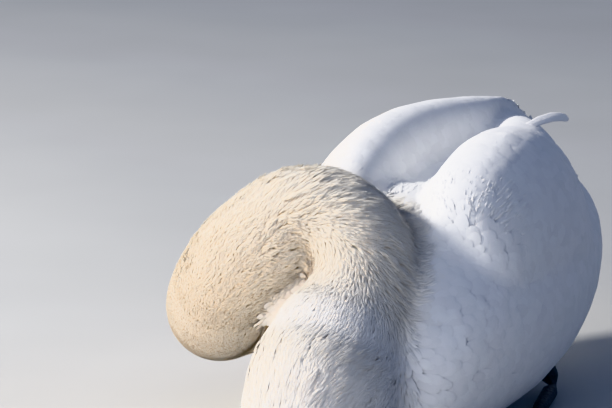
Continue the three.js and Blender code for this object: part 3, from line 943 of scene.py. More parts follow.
def plumage_material(name, vane, barb, barb_depth):
    """Keratin barbs: matt, with a soft sheen at glancing angles and a fine slanting ripple on each vane."""
    material, tree, shader = new_material(name, Roughness=0.72, Sheen_Weight=0.2, Sheen_Roughness=0.4)
    # The stain amount is real stain, and on the nape's side it is also painted shade.
    stain_and_shade_amount = node(tree, "Attribute", attribute_name="stain").outputs["Fac"]
    tone = node(tree, "Attribute", attribute_name="tone").outputs["Fac"]
    place = node(tree, "SeparateXYZ", {0: node(tree, "UVMap", uv_map="vane").outputs["UV"]})
    across, along = place.outputs["X"], place.outputs["Y"]
    # Painted shade: darker towards the base of each vane, lighter at its tip.
    white = node(tree, "ValToRGB", {"Fac": along}, stops=WHITE_BARBS_SHADED_BASE).outputs["Color"]
    cream = node(tree, "ValToRGB", {"Fac": along}, stops=CREAM_BARBS_SHADED_BASE).outputs["Color"]
    colour = node(tree, "Mix", {"Factor": stain_and_shade_amount, "A": white, "B": cream}, data_type="RGBA")
    darker = node(tree, "MapRange", {"Value": tone, "To Min": 0.93, "To Max": 1.0}).outputs["Result"]
    shaded = node(tree, "HueSaturation", {"Color": colour.outputs["Result"], "Value": darker})
    tree.links.new(shaded.outputs["Color"], shader.inputs["Base Color"])
    centred = node(tree, "Math", {0: across, 1: 0.5}, operation="SUBTRACT").outputs[0]
    aside = node(tree, "Math", {0: centred}, operation="ABSOLUTE").outputs[0]
    slant = node(tree, "Math", {0: aside, 1: 0.5, 2: along}, operation="MULTIPLY_ADD").outputs[0]
    phase = node(tree, "Math", {0: slant, 1: 2 * math.pi * vane / barb}, operation="MULTIPLY").outputs[0]
    wave = node(tree, "Math", {0: phase}, operation="SINE").outputs[0]
    bump = node(tree, "Bump", {"Height": wave, "Strength": 0.35, "Distance": barb_depth})
    tree.links.new(bump.outputs["Normal"], shader.inputs["Normal"])
    return material


short_plumage = plumage_material("short neck plumage", NECK_VANE, NECK_BARB, 0.15 * MM)
body_plumage = plumage_material("body plumage", BODY_VANE, BODY_BARB, 0.07 * MM)

# Down over skin is mottled and has hardly any shine, so gaps between feathers look soft. Bare skin is black.
skin_material, tree, shader = new_material("skin and down", Roughness=0.85)
# The stain amount is real stain, and on the nape's side it is also painted shade.
stain_and_shade_amount = node(tree, "Attribute", attribute_name="stain").outputs["Fac"]
where = node(tree, "TexCoord").outputs["Object"]
down = node(tree, "TexNoise", {"Vector": where, "Scale": 1 / DOWN_TUFT, "Detail": 3.0})
grey = node(tree, "ValToRGB", {"Fac": down.outputs["Fac"]}, stops=[(0.3, "#e4e5e8"), (0.7, "#eeeff1")])
tan = node(tree, "ValToRGB", {"Fac": down.outputs["Fac"]}, stops=[(0.3, "#cbb084"), (0.7, "#dcc6a0")])
plumed = node(
    tree, "Mix", {"Factor": stain_and_shade_amount, "A": grey.outputs["Color"], "B": tan.outputs["Color"]}, data_type="RGBA",
)
bared = node(tree, "Attribute", attribute_name="bare").outputs["Fac"]
edged = node(tree, "MapRange", {"Value": bared, "From Min": 0.35, "From Max": 0.65}).outputs["Result"]
mixed = node(
    tree, "Mix", {"Factor": edged, "A": plumed.outputs["Result"], "B": linear(BARE_SKIN)}, data_type="RGBA",
)
tree.links.new(mixed.outputs["Result"], shader.inputs["Base Color"])
skin.data.materials.append(skin_material)
print("3 materials")

# %% [markdown]
# A bird's coat has layers, and each is laid by one function. It scatters roots, turns each feather a little
# out of the lie, gathers neighbours into locks and lays them along the skin. A layer under the outer one
# closes the gaps. Nothing grows over an eye, or across a crease, where a feather would stand up like a
# shard.

# %% Faces of the neck, head and body, and locks
face_part = part[faces[:, 0]]
face_place = skin_points[faces].mean(1)
face_along_neck = along_neck[faces].mean(1)
on_neck, on_head = face_part == PARTS.index("neck"), face_part == PARTS.index("head")
on_body = ~(on_neck | on_head)
CLEAR_OF_EYE = 1.3  # no feather's tip comes nearer than this many times the lids' opening
ROOT_CLEAR_OF_EYE = 1.6
MOULDED_RUFFLE = 0.2  # a moulded feather keeps this much of the ruffle
SWIRL = 26 * MM  # the size of a patch where the feathers turn the same way
LOCKS_PER_ROOT = 0.07  # one lock to about fourteen feathers
LOCKS_TRIED = 6  # each feather joins the best of this many of the nearest
LOCK_HALF_WIDTH = 2.2  # in widths of a feather


def locks(roots, sideways):
    """How far each root is from the middle of its lock, and a number of its own for every lock."""
    tree = KDTree(len(roots))
    middles = rng.permutation(len(roots))[:max(8, int(len(roots) * LOCKS_PER_ROOT))]
    for i, middle in enumerate(middles.tolist()):
        tree.insert(roots.place[middle], i)
    tree.balance()
    near = np.array([[found[1] for found in tree.find_n(p, LOCKS_TRIED)] for p in roots.place.tolist()])
    gap = roots.place[:, None] - roots.place[middles[near]]
    aside = (gap * sideways[:, None]).sum(-1)
    along = (gap * roots.lie[:, None]).sum(-1)
    best = (aside ** 2 + (0.4 * along) ** 2).argmin(1)
    each = np.arange(len(roots))
    return aside[each, best], rng.standard_normal(len(middles))[near[each, best]]


print("locks of about", round(1 / LOCKS_PER_ROOT), "feathers")

# %% Lay one layer
def coat(name, face_chosen, pattern, material, steps=3, closer=1.0, height=1.0, slot="plumage_white", power=1.0,
         loose=0.22, gather=0.0, shape=(1.0, 1.0), droop=0.0, moulded=False):
    """One layer of the coat. `shape` scales its feathers' length and width, `height` how far they stand."""
    roots = scatter(face_chosen, closer)
    roots.size[:, 1:] *= shape
    if moulded:
        roots.ruffle *= MOULDED_RUFFLE
    tips = roots.place + roots.lie * roots.size[:, 1:2]
    clear = np.minimum(reach_from_eye(tips), reach_from_eye((roots.place + tips) / 2)) > CLEAR_OF_EYE
    roots.keep(clear & (reach_from_eye(roots.place) > ROOT_CLEAR_OF_EYE))
    normals = walk(roots, roots.size[:, 1], steps)[1]
    roots.keep((normals[:, 1:] * normals[:, :-1]).sum(-1).min(1) > CREASE)
    count = len(roots)
    vary = lambda share: 1 + share * rng.standard_normal(count)
    swirl = wander(roots.place, SWIRL, 2)
    sideways = np.cross(roots.lie, roots.normal)
    aside, own = locks(roots, sideways) if gather else (np.zeros(count), np.zeros(count))
    astray = 0.4 * loose * rng.standard_normal(count) + (0.08 + 0.4 * roots.ruffle) * swirl
    astray = astray + 0.5 * roots.ruffle * own * (gather > 0)
    roots.lie = unit(roots.lie + sideways * astray[:, None])
    length = roots.size[:, 1] * vary(0.10)
    width = roots.size[:, 2] * vary(0.10)
    ridge = 1 - np.minimum((aside / (LOCK_HALF_WIDTH * roots.size[:, 2])) ** 2, 1.5)
    stand = 0.75 + roots.ruffle * (0.1 + 0.35 * own + gather * 0.45 * ridge)
    lift = height * roots.depth * stand * vary(0.35 * loose)
    laid = lay(
        pattern, walk(roots, length, steps), width, lift,
        curl=loose * width * rng.standard_normal(count) - gather * (0.12 + 0.8 * roots.ruffle) * aside,
        roll=loose * rng.standard_normal(count), droop=droop, power=power, moulded=moulded,
    )
    made = feather_mesh(name, pattern, laid, roots.map, {"stain": roots.stain, "tone": rng.random(count)})
    made.data.materials.append(material)
    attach(made, "root")
    return made


print("coats can be laid")

# %% [markdown]
# The head wears velvet of tiny tufts and the neck longer, looser ones, which part into locks where the arch
# opens them. Five lengths of the neck are laid one by one, each with its own looseness.

# %% The head and neck
cream = {"slot": "plumage_cream"}
feathered_head = on_head & (bare[faces].mean(1) < 0.4)
coat("plumage_head", feathered_head, TUFT, short_plumage, 2, **cream)
coat("under_plumage_neck", on_neck, TUFT, short_plumage, 2, closer=1.1, height=0.82, power=0.6, **cream)
NECK_COATS = [  # from and to along the neck; how loose, how gathered in locks, how curved; droop in mm
    (0.0, 0.3, 0.06, 0.1, 0.5, 0.9), (0.3, 0.47, 0.16, 0.5, 1.0, 0.0), (0.47, 0.6, 0.2, 1.0, 1.0, 0.0),
    (0.6, 0.74, 0.2, 1.0, 1.0, 0.0), (0.74, 1.01, 0.05, 0.15, 0.5, 0.3),
]
for number, (low, high, loose, gather, power, droop) in enumerate(NECK_COATS):
    chosen = on_neck & (face_along_neck >= low) & (face_along_neck < high)
    coat(
        f"plumage_neck_{number}", chosen, TUFT, short_plumage, 2, closer=0.8, loose=loose, gather=gather,
        shape=(1.0, 0.85), power=power, droop=droop * MM, **cream,
    )

# %% [markdown]
# Body feathers are broad and silky and lie like tiles, from the breast back to the rump. They could be laid
# over the wings too, but there the quills cover the skin, so the small feathers stop where the quills'
# roots begin. Where the shoulders are a little ruffled, a few narrow fringes lie on top.

# %% The body
FRONT, REAR = -0.10, 0.12  # where the breast ends and the rump begins
QUILLS_FROM, TAIL_QUILLS_FROM = 0.085, 0.33  # beyond these the quills cover the skin
FACES_OUT = 0.56  # how far sideways the outer face of a wing is turned, from 0 to 1
FACES_DOWN, LOWER_EDGE_TO = -0.12, 0.2  # its lower edge is turned down more than this, and ends here
silky = {"steps": 4, "power": 0.4, "loose": 0.012, "droop": 0.9 * MM, "moulded": True}
face_y = face_place[:, 1]
face_normal = skin_normals[faces].mean(1)
on_tip = face_part == PARTS.index("wing_tip")
outer_side = face_normal[:, 0] * np.sign(face_place[:, 0]) > FACES_OUT
lower_edge = (face_normal[:, 2] < FACES_DOWN) & (face_y < LOWER_EDGE_TO)  # small feathers there hide roots
on_wing_part = (face_part == PARTS.index("wing")) | on_tip
quilled = on_wing_part & (face_y > QUILLS_FROM) & outer_side & ~lower_edge | on_tip
quilled |= (face_part == PARTS.index("tail")) & (face_y > TAIL_QUILLS_FROM)
on_body &= ~quilled
coat("under_plumage_body", on_body & (face_y < REAR), CONTOUR, body_plumage, closer=1.4, height=0.74, **silky)
coat("plumage_breast", on_body & (face_y < FRONT), CONTOUR, body_plumage, **silky)
coat("plumage_flanks", on_body & (face_y >= FRONT) & (face_y < REAR), CONTOUR, body_plumage, **silky)
coat("plumage_rump", on_body & (face_y >= REAR), CONTOUR, body_plumage, **silky)
face_fringed = fringed[faces[:, 0]] & on_body
coat(
    "fringes_shoulder", face_fringed, TUFT, short_plumage, 3, closer=0.5, height=1.04, shape=(0.45, 0.14),
    gather=0.7, power=0.5, droop=0.4 * MM,
)
print("coats laid")

# %% [markdown]
# The flight feathers and the large coverts are stiff quills. Each has a vane that curves across, a raised
# shaft and a rounded tip, and it is at least about half a millimetre thick. It is modelled once, as a grid
# shaped row by row and given its thickness by a modifier, then bent along the wing as the small feathers
# are along the skin.

# %% Model a quill
QUILL_THICKNESS = 0.018  # as a share of its width, 0.5 mm or more
QUILL_ROWS = [  # along the feather, half width, drop of the edges below the shaft
    (0.0, 0.10, 0.00), (0.08, 0.26, 0.03), (0.2, 0.40, 0.06), (0.38, 0.48, 0.08), (0.58, 0.50, 0.08),
    (0.76, 0.47, 0.07), (0.87, 0.41, 0.05), (0.94, 0.31, 0.03), (0.98, 0.19, 0.01), (1.0, 0.07, 0.0),
]
SHAFT = 0.025  # how high the shaft stands at the root


def quill_height(share, along, arch):
    shaft = SHAFT * (1 - along) if abs(share) < 0.01 else 0.0
    return shaft - arch * share ** 2


quill = feather_grid(QUILL_ROWS, 8, quill_height)
apply_modifier(quill, "SOLIDIFY", thickness=QUILL_THICKNESS, offset=-1)
apply_modifier(quill, "TRIANGULATE")
QUILL = take_pattern(quill)
print("quill", len(QUILL[0]), "points,", len(QUILL[1]), "triangles")

# %% [markdown]
# A folded wing's quills lie on smooth faces that the solids already have. Walking over the skin would let
# long quills drift apart, so each of these faces is a formula instead: a place along it and a place across
# it give a point. Its numbers are in millimetres and are the frame's own.

# %% Where the quills lie: on the wing, on its tip and on the tail
WING_LEAN = math.radians(18)
WING_LIFT, WING_FULLNESS = {1: -17, -1: 3}, {1: 13, -1: 0}  # the two wings aren't held quite alike, mm


def arc(u, peak_at, front, peak, rear, front_round=2.0, rear_round=2.0):
    """From `front` at u = 0 through `peak` at u = peak_at to `rear` at u = 1, as the frame's outlines do."""
    rise = lambda t, roundness: (1 - (1 - np.clip(t, 0, 1)) ** roundness) ** (1 / roundness)
    before = front + (peak - front) * rise(u / peak_at, front_round)
    after = rear + (peak - rear) * rise((1 - u) / (1 - peak_at), rear_round)
    return np.where(u < peak_at, before, after)


def on_wing(side):
    """Places on the outline of a wing: u runs from its bend to its rear, the angle from its outer side up."""
    def place(u, angle):
        inward = smooth(u, 0.34, 0.93)
        fuller = WING_FULLNESS[side] * smooth(u, 0, 0.1) * (1 - smooth(u, 0.3, 0.66))
        x = arc(u, 0.34, 70, 92, 92) * (1 - inward) + 15 * inward - fuller
        z = arc(u, 0.35, 196, 212, 192, 2, 1.8) + WING_LIFT[side] * smooth(u, 0.25, 0.5) + 0.35 * fuller
        out = (arc(u, 0.4, 32, 60, 10, 2, 1.7) + fuller) * np.cos(angle)
        up = arc(u, 0.45, 50, 106, 20, 2.2, 2.2) * np.sin(angle)
        x = x + out * math.cos(WING_LEAN) - up * math.sin(WING_LEAN)
        z = z + out * math.sin(WING_LEAN) + up * math.cos(WING_LEAN)
        return MM * np.stack([side * np.maximum(x, 1.5), -160 + 545 * u, z], axis=-1)
    return place


def on_wing_tip(side):
    """Places on the upper face of the blade that the folded primaries make; c runs across it."""
    def place(u, c):
        width = arc(np.maximum(u, 0.2), 0.2, 16, 27, 5, 2, 1.5)
        thickness = 9 * arc(np.maximum(u, 0.2), 0.2, 0.8, 1, 0.16, 2, 1.4)
        x = 44 + (16 - 44) * u + c * width
        z = 205 + (166 - 205) * u + np.sqrt(np.maximum(1 - c * c, 0)) * thickness - 0.35 * c * width
        return MM * np.stack([side * x, 300 + (452 - 300) * u, z], axis=-1)
    return place


def on_tail(face):
    """Places on the upper (1) or lower (-1) face of the tail; c runs across it."""
    def place(u, c):
        width = arc(u, 0.35, 48, 62, 16, 2, 1.6)
        thickness = (30 + (5 - 30) * smooth(u, 0, 0.7)) / 2
        z = 168 + (134 - 168) * u + face * np.sqrt(np.maximum(1 - c * c, 0)) * thickness - 9 * c * c
        return MM * np.stack([c * width, 286 + 214 * u, z], axis=-1)
    return place


def paths_on(surface, u_from, u_to, c_from, c_to, turned=1, steps=10):
    """A path for every quill from (u_from, c_from) to (u_to, c_to) on a surface."""
    share = np.linspace(0, 1, steps + 1)
    u = np.asarray(u_from)[..., None] * (1 - share) + np.asarray(u_to)[..., None] * share
    c = np.asarray(c_from)[..., None] * (1 - share) + np.asarray(c_to)[..., None] * share
    u, c = np.broadcast_arrays(u, c)
    place = surface(u, c)
    way = unit(np.gradient(place, axis=1))
    step = 0.02
    normal = np.cross(surface(u, c + step) - surface(u, c - step), way) * turned
    return place, unit(normal), way


def roots_near(places):
    """Roots on the skin next to these places."""
    return Roots(*on_skin(places)[1:])


print("the wing's outline at its widest", (on_wing(1)(0.4, 0.0) / MM).round(0), "mm")

# %% [markdown]
# A folded wing stacks its quills: the inner ones lie over the outer, and each row of coverts lies over the
# roots of the next. The rows are the long secondaries, the greater and median coverts over them, the broad
# tertials next to the back, and the primaries in the blade at the rear. Edges at a row's ends sink under
# the small feathers.

# %% Lay a row of quills
quill_plumage = plumage_material("quill vanes", QUILL_VANE, QUILL_BARB, 0.1 * MM)
RIDGE_SINK, LOWER_SINK = 4.5, 1.6  # mm, at the two ends of a row
ROOT_SINK = 1.6  # a quill's root sinks this many times as far as its tip
SINK_OVER = 24  # degrees
OVERLAP = 0.35  # every second quill lies this much higher, mm


def sunk_at_edges(angles):
    """How far a row's quills are lowered at its ends, in mm, so that small feathers lie over their edges."""
    at_ridge = smooth(angles, angles[-1] - SINK_OVER, angles[-1])
    at_lower_edge = 1 - smooth(angles, angles[0], angles[0] + SINK_OVER)
    return -RIDGE_SINK * at_ridge - LOWER_SINK * at_lower_edge


def quills(name, path, width, lift, root_lift, roll=0.0):
    """Lays quills along these paths; widths and lifts are in mm."""
    roots = roots_near(path[0][:, 0])
    count = len(roots)
    width = MM * np.broadcast_to(width, count) * (1 + 0.03 * rng.standard_normal(count))
    laid = lay(QUILL, path, width, MM * np.asarray(lift), MM * np.asarray(root_lift), roll=roll, power=0.6)
    made = feather_mesh(name, QUILL, laid, roots.map, {"stain": roots.stain, "tone": rng.random(count)})
    made.data.materials.append(quill_plumage)
    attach(made, "root")
    return made


def uneven(count, amount):
    """Small differences, as no two feathers of a row lie quite alike."""
    return amount * rng.standard_normal(count)


print("quills ready")

# %% The rows of both wings
for side, side_name in SIDE_NAMES.items():
    rows = (  # name, u at root and tip, angles there in degrees, how many, width, lift, lift at the root
        ("secondaries", 0.60, 0.945, (-78, 48), (-62, 40), 13, 36, -2.4, -6.5),
        ("greater_coverts", 0.49, 0.725, (-40, 48), (-36, 44), 10, 35, -2.0, -7.0),
        ("median_coverts", 0.415, 0.575, (-40, 46), (-38, 44), 10, 32, -1.6, -8.0),
    )
    for title, u_from, u_to, at_root, at_tip, count, width, lift, root_lift in rows:
        path = paths_on(
            on_wing(side), u_from + uneven(count, 0.002), u_to + uneven(count, 0.004),
            np.radians(np.linspace(*at_root, count)), np.radians(np.linspace(*at_tip, count)), -side,
        )
        sunk = sunk_at_edges(np.linspace(*at_root, count))
        over = OVERLAP * (np.arange(count) % 2)
        quills(f"{title}_{side_name}", path, width, lift + over + sunk, root_lift + ROOT_SINK * sunk,
               roll=side * 0.05)
    path = paths_on(
        on_wing(side), np.array((0.67, 0.66, 0.65, 0.63)), np.array((0.97, 0.955, 0.935, 0.91)),
        np.radians((12, 24, 36, 47)), np.radians((8, 20, 31, 42)), -side,
    )
    quills(f"tertials_{side_name}", path, 44, (-1.0, -1.2, -2.2, -3.6), -5.0, roll=side * 0.05)
    count = 5
    across = np.linspace(0.5, -0.7, count)
    path = paths_on(
        on_wing_tip(side), np.full(count, -0.45), np.linspace(1.0, 0.44, count), across, across * 0.6, side,
    )
    quills(f"primaries_{side_name}", path, 27, np.linspace(-0.4, 1.6, count), -1.0, roll=side * 0.06)
print("wings laid")

# %% [markdown]
# The tail is a short fan of quills, the middle ones longest, with a second row under it. Then the skin
# under all the plumage takes the place of the solids it was made from.

# %% Tail feathers, and the skin in place of the solids
TAIL_ROWS = (  # name, upper or lower face, how many, how far out, lift in mm
    ("tail_feathers", 1, 12, 0.86, 0.6), ("tail_feathers_under", -1, 10, 0.7, 0.2),
)
for title, face, count, reach, lift in TAIL_ROWS:
    across = np.linspace(-reach, reach, count)
    path = paths_on(on_tail(face), np.full(count, 0.02), 1 - 0.16 * across ** 2, across, across, face)
    quills(title, path, 34, lift - 0.9 * np.abs(across) + 0.3 * (across > 0), -1.5, roll=0.03 * face)
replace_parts(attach(skin, "root"), *FLESH)

# %% [markdown]
# A preening bird leaves a feather out of its place now and then. One sticks out behind the top of the near
# wing. It is a quill like the rest, laid along a short line of its own instead of a face of the wing.

# %% One stray feather on the near wing
STRAY_LINE = np.array([  # mm
    (50.0, 116.0, 284.0), (62.0, 130.0, 294.0), (76.0, 147.0, 299.0), (88.0, 161.0, 299.0),
    (94.0, 167.0, 293.0),
])
STRAY_FACES = np.array((0.3, -0.75, 0.6))
STRAY_WIDTH = 11  # mm

share = np.linspace(0, len(STRAY_LINE) - 1, 11)
place = np.stack([np.interp(share, range(len(STRAY_LINE)), column) for column in STRAY_LINE.T], axis=1) * MM
for _ in range(3):  # rounds off the corners of the line
    place[1:-1] = (place[:-2] + 2 * place[1:-1] + place[2:]) / 4
way = unit(np.gradient(place, axis=0))
normal = unit(STRAY_FACES - way * (way @ STRAY_FACES)[:, None])
quills("stray_feather", (place[None], normal[None], way[None]), STRAY_WIDTH, 0.0, 0.0)

# %% [markdown]
# The eye is a ball of clear tissue with a bulging cornea. The swan's iris is dark brown round a black
# pupil. The ball is modelled with its pole up, and the rings next to the pole are drawn out for the cornea.
# Then it's turned outwards and set in the head, so that the lids hug it. The iris is coloured by the angle
# from the pole, which needs no map.

# %% Eyes
IRIS_EDGE = 0.62  # cosine of the angle between the eye's axis and the rim of the iris
CORNEA_RINGS = ((0.80, 1.02), (0.88, 1.025), (0.95, 1.02))  # from this cosine up, drawn out so many times
IRIS_STREAK = 1.11 * MM


def model_eye(side, name):
    bpy.ops.object.select_all(action="DESELECT")
    bpy.ops.mesh.primitive_uv_sphere_add(segments=40, ring_count=26, radius=EYE_RADIUS)
    eye = bpy.context.view_layer.objects.active
    eye.name = eye.data.name = f"eyeball_{name}"
    with editing(eye) as ball:
        for cosine, drawn_out in CORNEA_RINGS:
            pick(ball, lambda place: place.z > cosine * EYE_RADIUS)
            bpy.ops.transform.resize(value=(1.0, 1.0, drawn_out), center_override=(0, 0, 0))
    points = points_of(eye)
    attribute(eye, "axis", points[:, 2] / np.linalg.norm(points, axis=1))
    turned = np.stack([points[:, 2] * side, points[:, 1] * -side, points[:, 0]], axis=1)
    set_points(eye, from_head(turned + EYE_PLACE * (side, 1, 1)))
    with editing(eye):
        bpy.ops.mesh.normals_make_consistent(inside=False)
    bpy.ops.object.shade_smooth()
    eye.data.materials.append(eye_material)
    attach(eye, "root")
    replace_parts(eye, f"eye_{name}")


# A wet cornea: the coat is almost a mirror, so the eye has a small sharp catchlight over a dark brown depth.
eye_material, tree, shader = new_material(
    "wet eye", Roughness=0.25, IOR=1.376, Coat_Weight=1.0, Coat_Roughness=0.02,
)
axis = node(tree, "Attribute", attribute_name="axis").outputs["Fac"]
where = node(tree, "TexCoord").outputs["Object"]
streaks = node(tree, "TexNoise", {"Vector": where, "Scale": 1 / IRIS_STREAK})
wavy = node(tree, "Math", {0: streaks.outputs["Fac"], 1: 0.03, 2: axis}, operation="MULTIPLY_ADD").outputs[0]
iris = node(tree, "ValToRGB", {"Fac": wavy}, stops=[
    (0.0, "#120c0a"), (IRIS_EDGE, "#120c0a"), (IRIS_EDGE + 0.04, "#3d2212"), (0.88, "#2b170c"),
    (0.90, "#050404"),
])
tree.links.new(iris.outputs["Color"], shader.inputs["Base Color"])
for side, side_name in SIDE_NAMES.items():
    model_eye(side, side_name)
print("2 eyes")

# %% [markdown]
# The bill is bone under a thin sheath of smooth horn: orange, with black along the cutting edges, at the
# nostrils and on the nail at the tip. The solids already have its form, so copies of them are remeshed fine
# enough to shape the nostrils, the groove along the nail and the rolled edge. The knob on the brow is soft
# black skin with fine wrinkles.

# %% Shape the bill
SEAM = -6 * MM  # height of the cutting edges at the root of the bill; they drop 5 mm to the tip
NOSTRIL = MM * np.array((-80.0, -0.5))  # along and up
NOSTRIL_SLANT = 0.12
NOSTRIL_LENGTH, NOSTRIL_HEIGHT = 6.5 * MM, 1.9 * MM  # from its middle to its ends
BILL_SOCKET = 7 * MM
NAIL_FROM = 0.845  # share of the bill's length
BILL_VOXEL, KNOB_VOXEL = 0.9 * MM, 0.8 * MM
HORN_BLOTCH, HORN_PIT = 11.1 * MM, 1.54 * MM
KNOB_GRAIN = 1.43 * MM
BLACK_HORN = "#191615"


def fine_copy(names, title, voxel, rounds):
    """A closed copy of some CAD nodes, with points this near to each other, and smoothed."""
    made = copy_of(names, title)
    apply_modifier(made, "REMESH", mode="VOXEL", voxel_size=voxel)
    apply_modifier(made, "SMOOTH", factor=0.5, iterations=rounds)
    return made


def finish_piece(made, material, slot, *replaced):
    apply_modifier(made, "TRIANGULATE")
    only(made)
    bpy.ops.object.shade_smooth()
    made.data.materials.append(material)
    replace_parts(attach(made, "root"), *replaced)


def shape_bill(half, title):
    """Bites the nail, the groove along the edge and the nostrils into the horn, and marks what is black."""
    made = fine_copy([f"bill_{half}"], title, BILL_VOXEL, 7)
    at = in_head(points_of(made))
    inward = -normals_of(made)
    u = (BILL_ROOT - at[:, 1]) / (BILL_ROOT - BILL_TIP)
    from_seam = np.abs(at[:, 2] - (SEAM - 5 * MM * u))
    x = np.abs(at[:, 0])
    bite = np.zeros(len(at))
    black = 1 - smooth(from_seam, 1.2 * MM, 2.6 * MM)
    nail = smooth(u, NAIL_FROM, NAIL_FROM + 0.012) * (1 - smooth(x, 6.5 * MM, 7.2 * MM))
    black = np.maximum(black, np.maximum(nail, 1 - smooth(u, 0.015, 0.06)))
    bite -= 0.45 * MM * nail
    bite += 0.35 * MM * near_ring(from_seam, 3.2 * MM, 1.0 * MM) * smooth(u, 0.05, 0.2)
    if half == "upper":
        behind = at[:, 1] - NOSTRIL[0]
        above = at[:, 2] - NOSTRIL[1] - NOSTRIL_SLANT * behind
        slit = np.hypot(behind / NOSTRIL_LENGTH, above / NOSTRIL_HEIGHT)
        slit = np.where(x > 2 * MM, slit, 9)
        bite += 2.2 * MM * (1 - smooth(slit, 0.45, 1.0)) - 0.4 * MM * near_ring(slit, 1.35, 0.3)
        bite += 0.3 * MM * near_ring(x, 7.0 * MM, 2.0 * MM) * smooth(u, 0.45, 0.55) * (1 - smooth(u, 0.8, 0.88))
        black = np.maximum(black, 1 - smooth(slit, 0.9, 1.4))
        black = np.maximum(black, (1 - smooth(u, 0.10, 0.2)) * (1 - smooth(x, 5 * MM, 9 * MM)))
    bite += 0.08 * MM * wander(at, 3 * MM, 5)
    into_face = BILL_SOCKET * (1 - smooth(u, 0, 0.08))  # the face's skin grips the root of the bill
    set_points(made, points_of(made) + inward * bite[:, None] + HEAD_BACK * into_face[:, None])
    attribute(made, "black", black)
    finish_piece(made, bill_horn, "bill", f"bill_{half}")


print("the bill is", (BILL_ROOT - BILL_TIP) / MM, "mm long")

# %% The horn of the bill
# Horn of the bill: keratin with a dull polish, so it has a broad soft highlight, and very fine pits.
bill_horn, tree, shader = new_material("horn of the bill", Roughness=0.42, IOR=1.54, Coat_Weight=0.15)
where = node(tree, "TexCoord").outputs["Object"]
blotch = node(tree, "TexNoise", {"Vector": where, "Scale": 1 / HORN_BLOTCH, "Detail": 4.0}).outputs["Fac"]
orange = node(tree, "ValToRGB", {"Fac": blotch}, stops=[(0.3, "#d2541c"), (0.55, "#df6a2a"), (0.75, "#e67d3c")])
marked = node(tree, "Attribute", attribute_name="black").outputs["Fac"]
ragged = node(tree, "Math", {0: blotch, 1: 0.35, 2: marked}, operation="MULTIPLY_ADD").outputs[0]
edged = node(tree, "MapRange", {"Value": ragged, "From Min": 0.6, "From Max": 0.72}).outputs["Result"]
mixed = node(
    tree, "Mix", {"Factor": edged, "A": orange.outputs["Color"], "B": linear(BLACK_HORN)}, data_type="RGBA",
)
tree.links.new(mixed.outputs["Result"], shader.inputs["Base Color"])
pits = node(tree, "TexNoise", {"Vector": where, "Scale": 1 / HORN_PIT, "Detail": 2.0}).outputs["Fac"]
bump = node(tree, "Bump", {"Height": pits, "Strength": 0.3, "Distance": 0.15 * MM})
tree.links.new(bump.outputs["Normal"], shader.inputs["Normal"])
shape_bill("upper", "bill_upper_horn")
shape_bill("lower", "bill_lower_horn")
print("2 halves of the bill")

# %% The knob on the brow
knob = fine_copy(["bill_knob"], "knob_skin", KNOB_VOXEL, 6)
at = in_head(points_of(knob))
wrinkles = 0.22 * MM * np.abs(wander(at * (1, 2.2, 1), 2.6 * MM, 6)) + 0.1 * MM * wander(at, 1.2 * MM, 7)
set_points(knob, points_of(knob) - normals_of(knob) * wrinkles[:, None])
# Soft black skin has a low, blurred shine, broken up by its grain.
knob_skin, tree, shader = new_material("soft black skin", Roughness=0.5, IOR=1.4)
where = node(tree, "TexCoord").outputs["Object"]
grain = node(tree, "TexNoise", {"Vector": where, "Scale": 1 / KNOB_GRAIN, "Detail": 3.0}).outputs["Fac"]
black = node(tree, "ValToRGB", {"Fac": grain}, stops=[(0.35, "#141212"), (0.7, "#262120")])
tree.links.new(black.outputs["Color"], shader.inputs["Base Color"])
bump = node(tree, "Bump", {"Height": grain, "Strength": 0.5, "Distance": 0.2 * MM})
tree.links.new(bump.outputs["Normal"], shader.inputs["Normal"])
finish_piece(knob, knob_skin, "knob", "bill_knob")
print("knob", len(knob.data.polygons), "faces")

# %% [markdown]
# A swan's legs are covered in small horny scutes over tough skin, dark grey to black, with a thin web
# between the toes. One skin per leg joins the toes, the web and the shank. The scutes are cells with a
# groove between them, cut into the mesh, because a bump alone wouldn't show in the outline.

# %% Legs
LEG_VOXEL = 1.25 * MM
SCUTE = 4.2 * MM  # from one scute to the next
GROOVE = 0.45 * MM  # how deep the grooves between them are
WEB_SCALE, LEG_SHADE = 1.67 * MM, 16.7 * MM
GROOVE_DIRT = "#15130f"

# Horny skin of the legs: a dull shine on every scute, dark dirt in the grooves, and tiny scales on the web.
leg_skin, tree, shader = new_material("scuted leg skin", Roughness=0.5, IOR=1.45)
groove = node(tree, "Attribute", attribute_name="groove").outputs["Fac"]
where = node(tree, "TexCoord").outputs["Object"]
cells = node(tree, "TexVoronoi", {"Vector": where, "Scale": 1 / WEB_SCALE}).outputs["Distance"]
shade = node(tree, "TexNoise", {"Vector": where, "Scale": 1 / LEG_SHADE, "Detail": 3.0}).outputs["Fac"]
slate = node(tree, "ValToRGB", {"Fac": shade}, stops=[(0.3, "#363432"), (0.7, "#4b4845")])
dusted = node(
    tree, "Mix", {"Factor": groove, "A": slate.outputs["Color"], "B": linear(GROOVE_DIRT)}, data_type="RGBA",
)
tree.links.new(dusted.outputs["Result"], shader.inputs["Base Color"])
bump = node(tree, "Bump", {"Height": cells, "Strength": 0.5, "Distance": 0.25 * MM})
tree.links.new(bump.outputs["Normal"], shader.inputs["Normal"])

for side_name in SIDE_NAMES.values():
    leg = fine_copy([f"foot_{side_name}", f"shank_{side_name}"], f"leg_skin_{side_name}", LEG_VOXEL, 3)
    places = points_of(leg)
    cell = [noise.voronoi(Vector(place) / SCUTE)[0] for place in places.tolist()]
    gap = np.array([distances[1] - distances[0] for distances in cell])
    cut = 1 - smooth(gap, 0.05, 0.3)
    off_ground = smooth(places[:, 2], 0.8 * MM, 2.4 * MM)
    moved = places - normals_of(leg) * (cut * GROOVE * off_ground)[:, None]
    moved[:, 2] = np.maximum(moved[:, 2], 0)
    set_points(leg, moved)
    attribute(leg, "groove", cut * 0.8)
    finish_piece(leg, leg_skin, "foot", f"foot_{side_name}", f"shank_{side_name}")
    print(leg.name, len(leg.data.polygons), "faces")

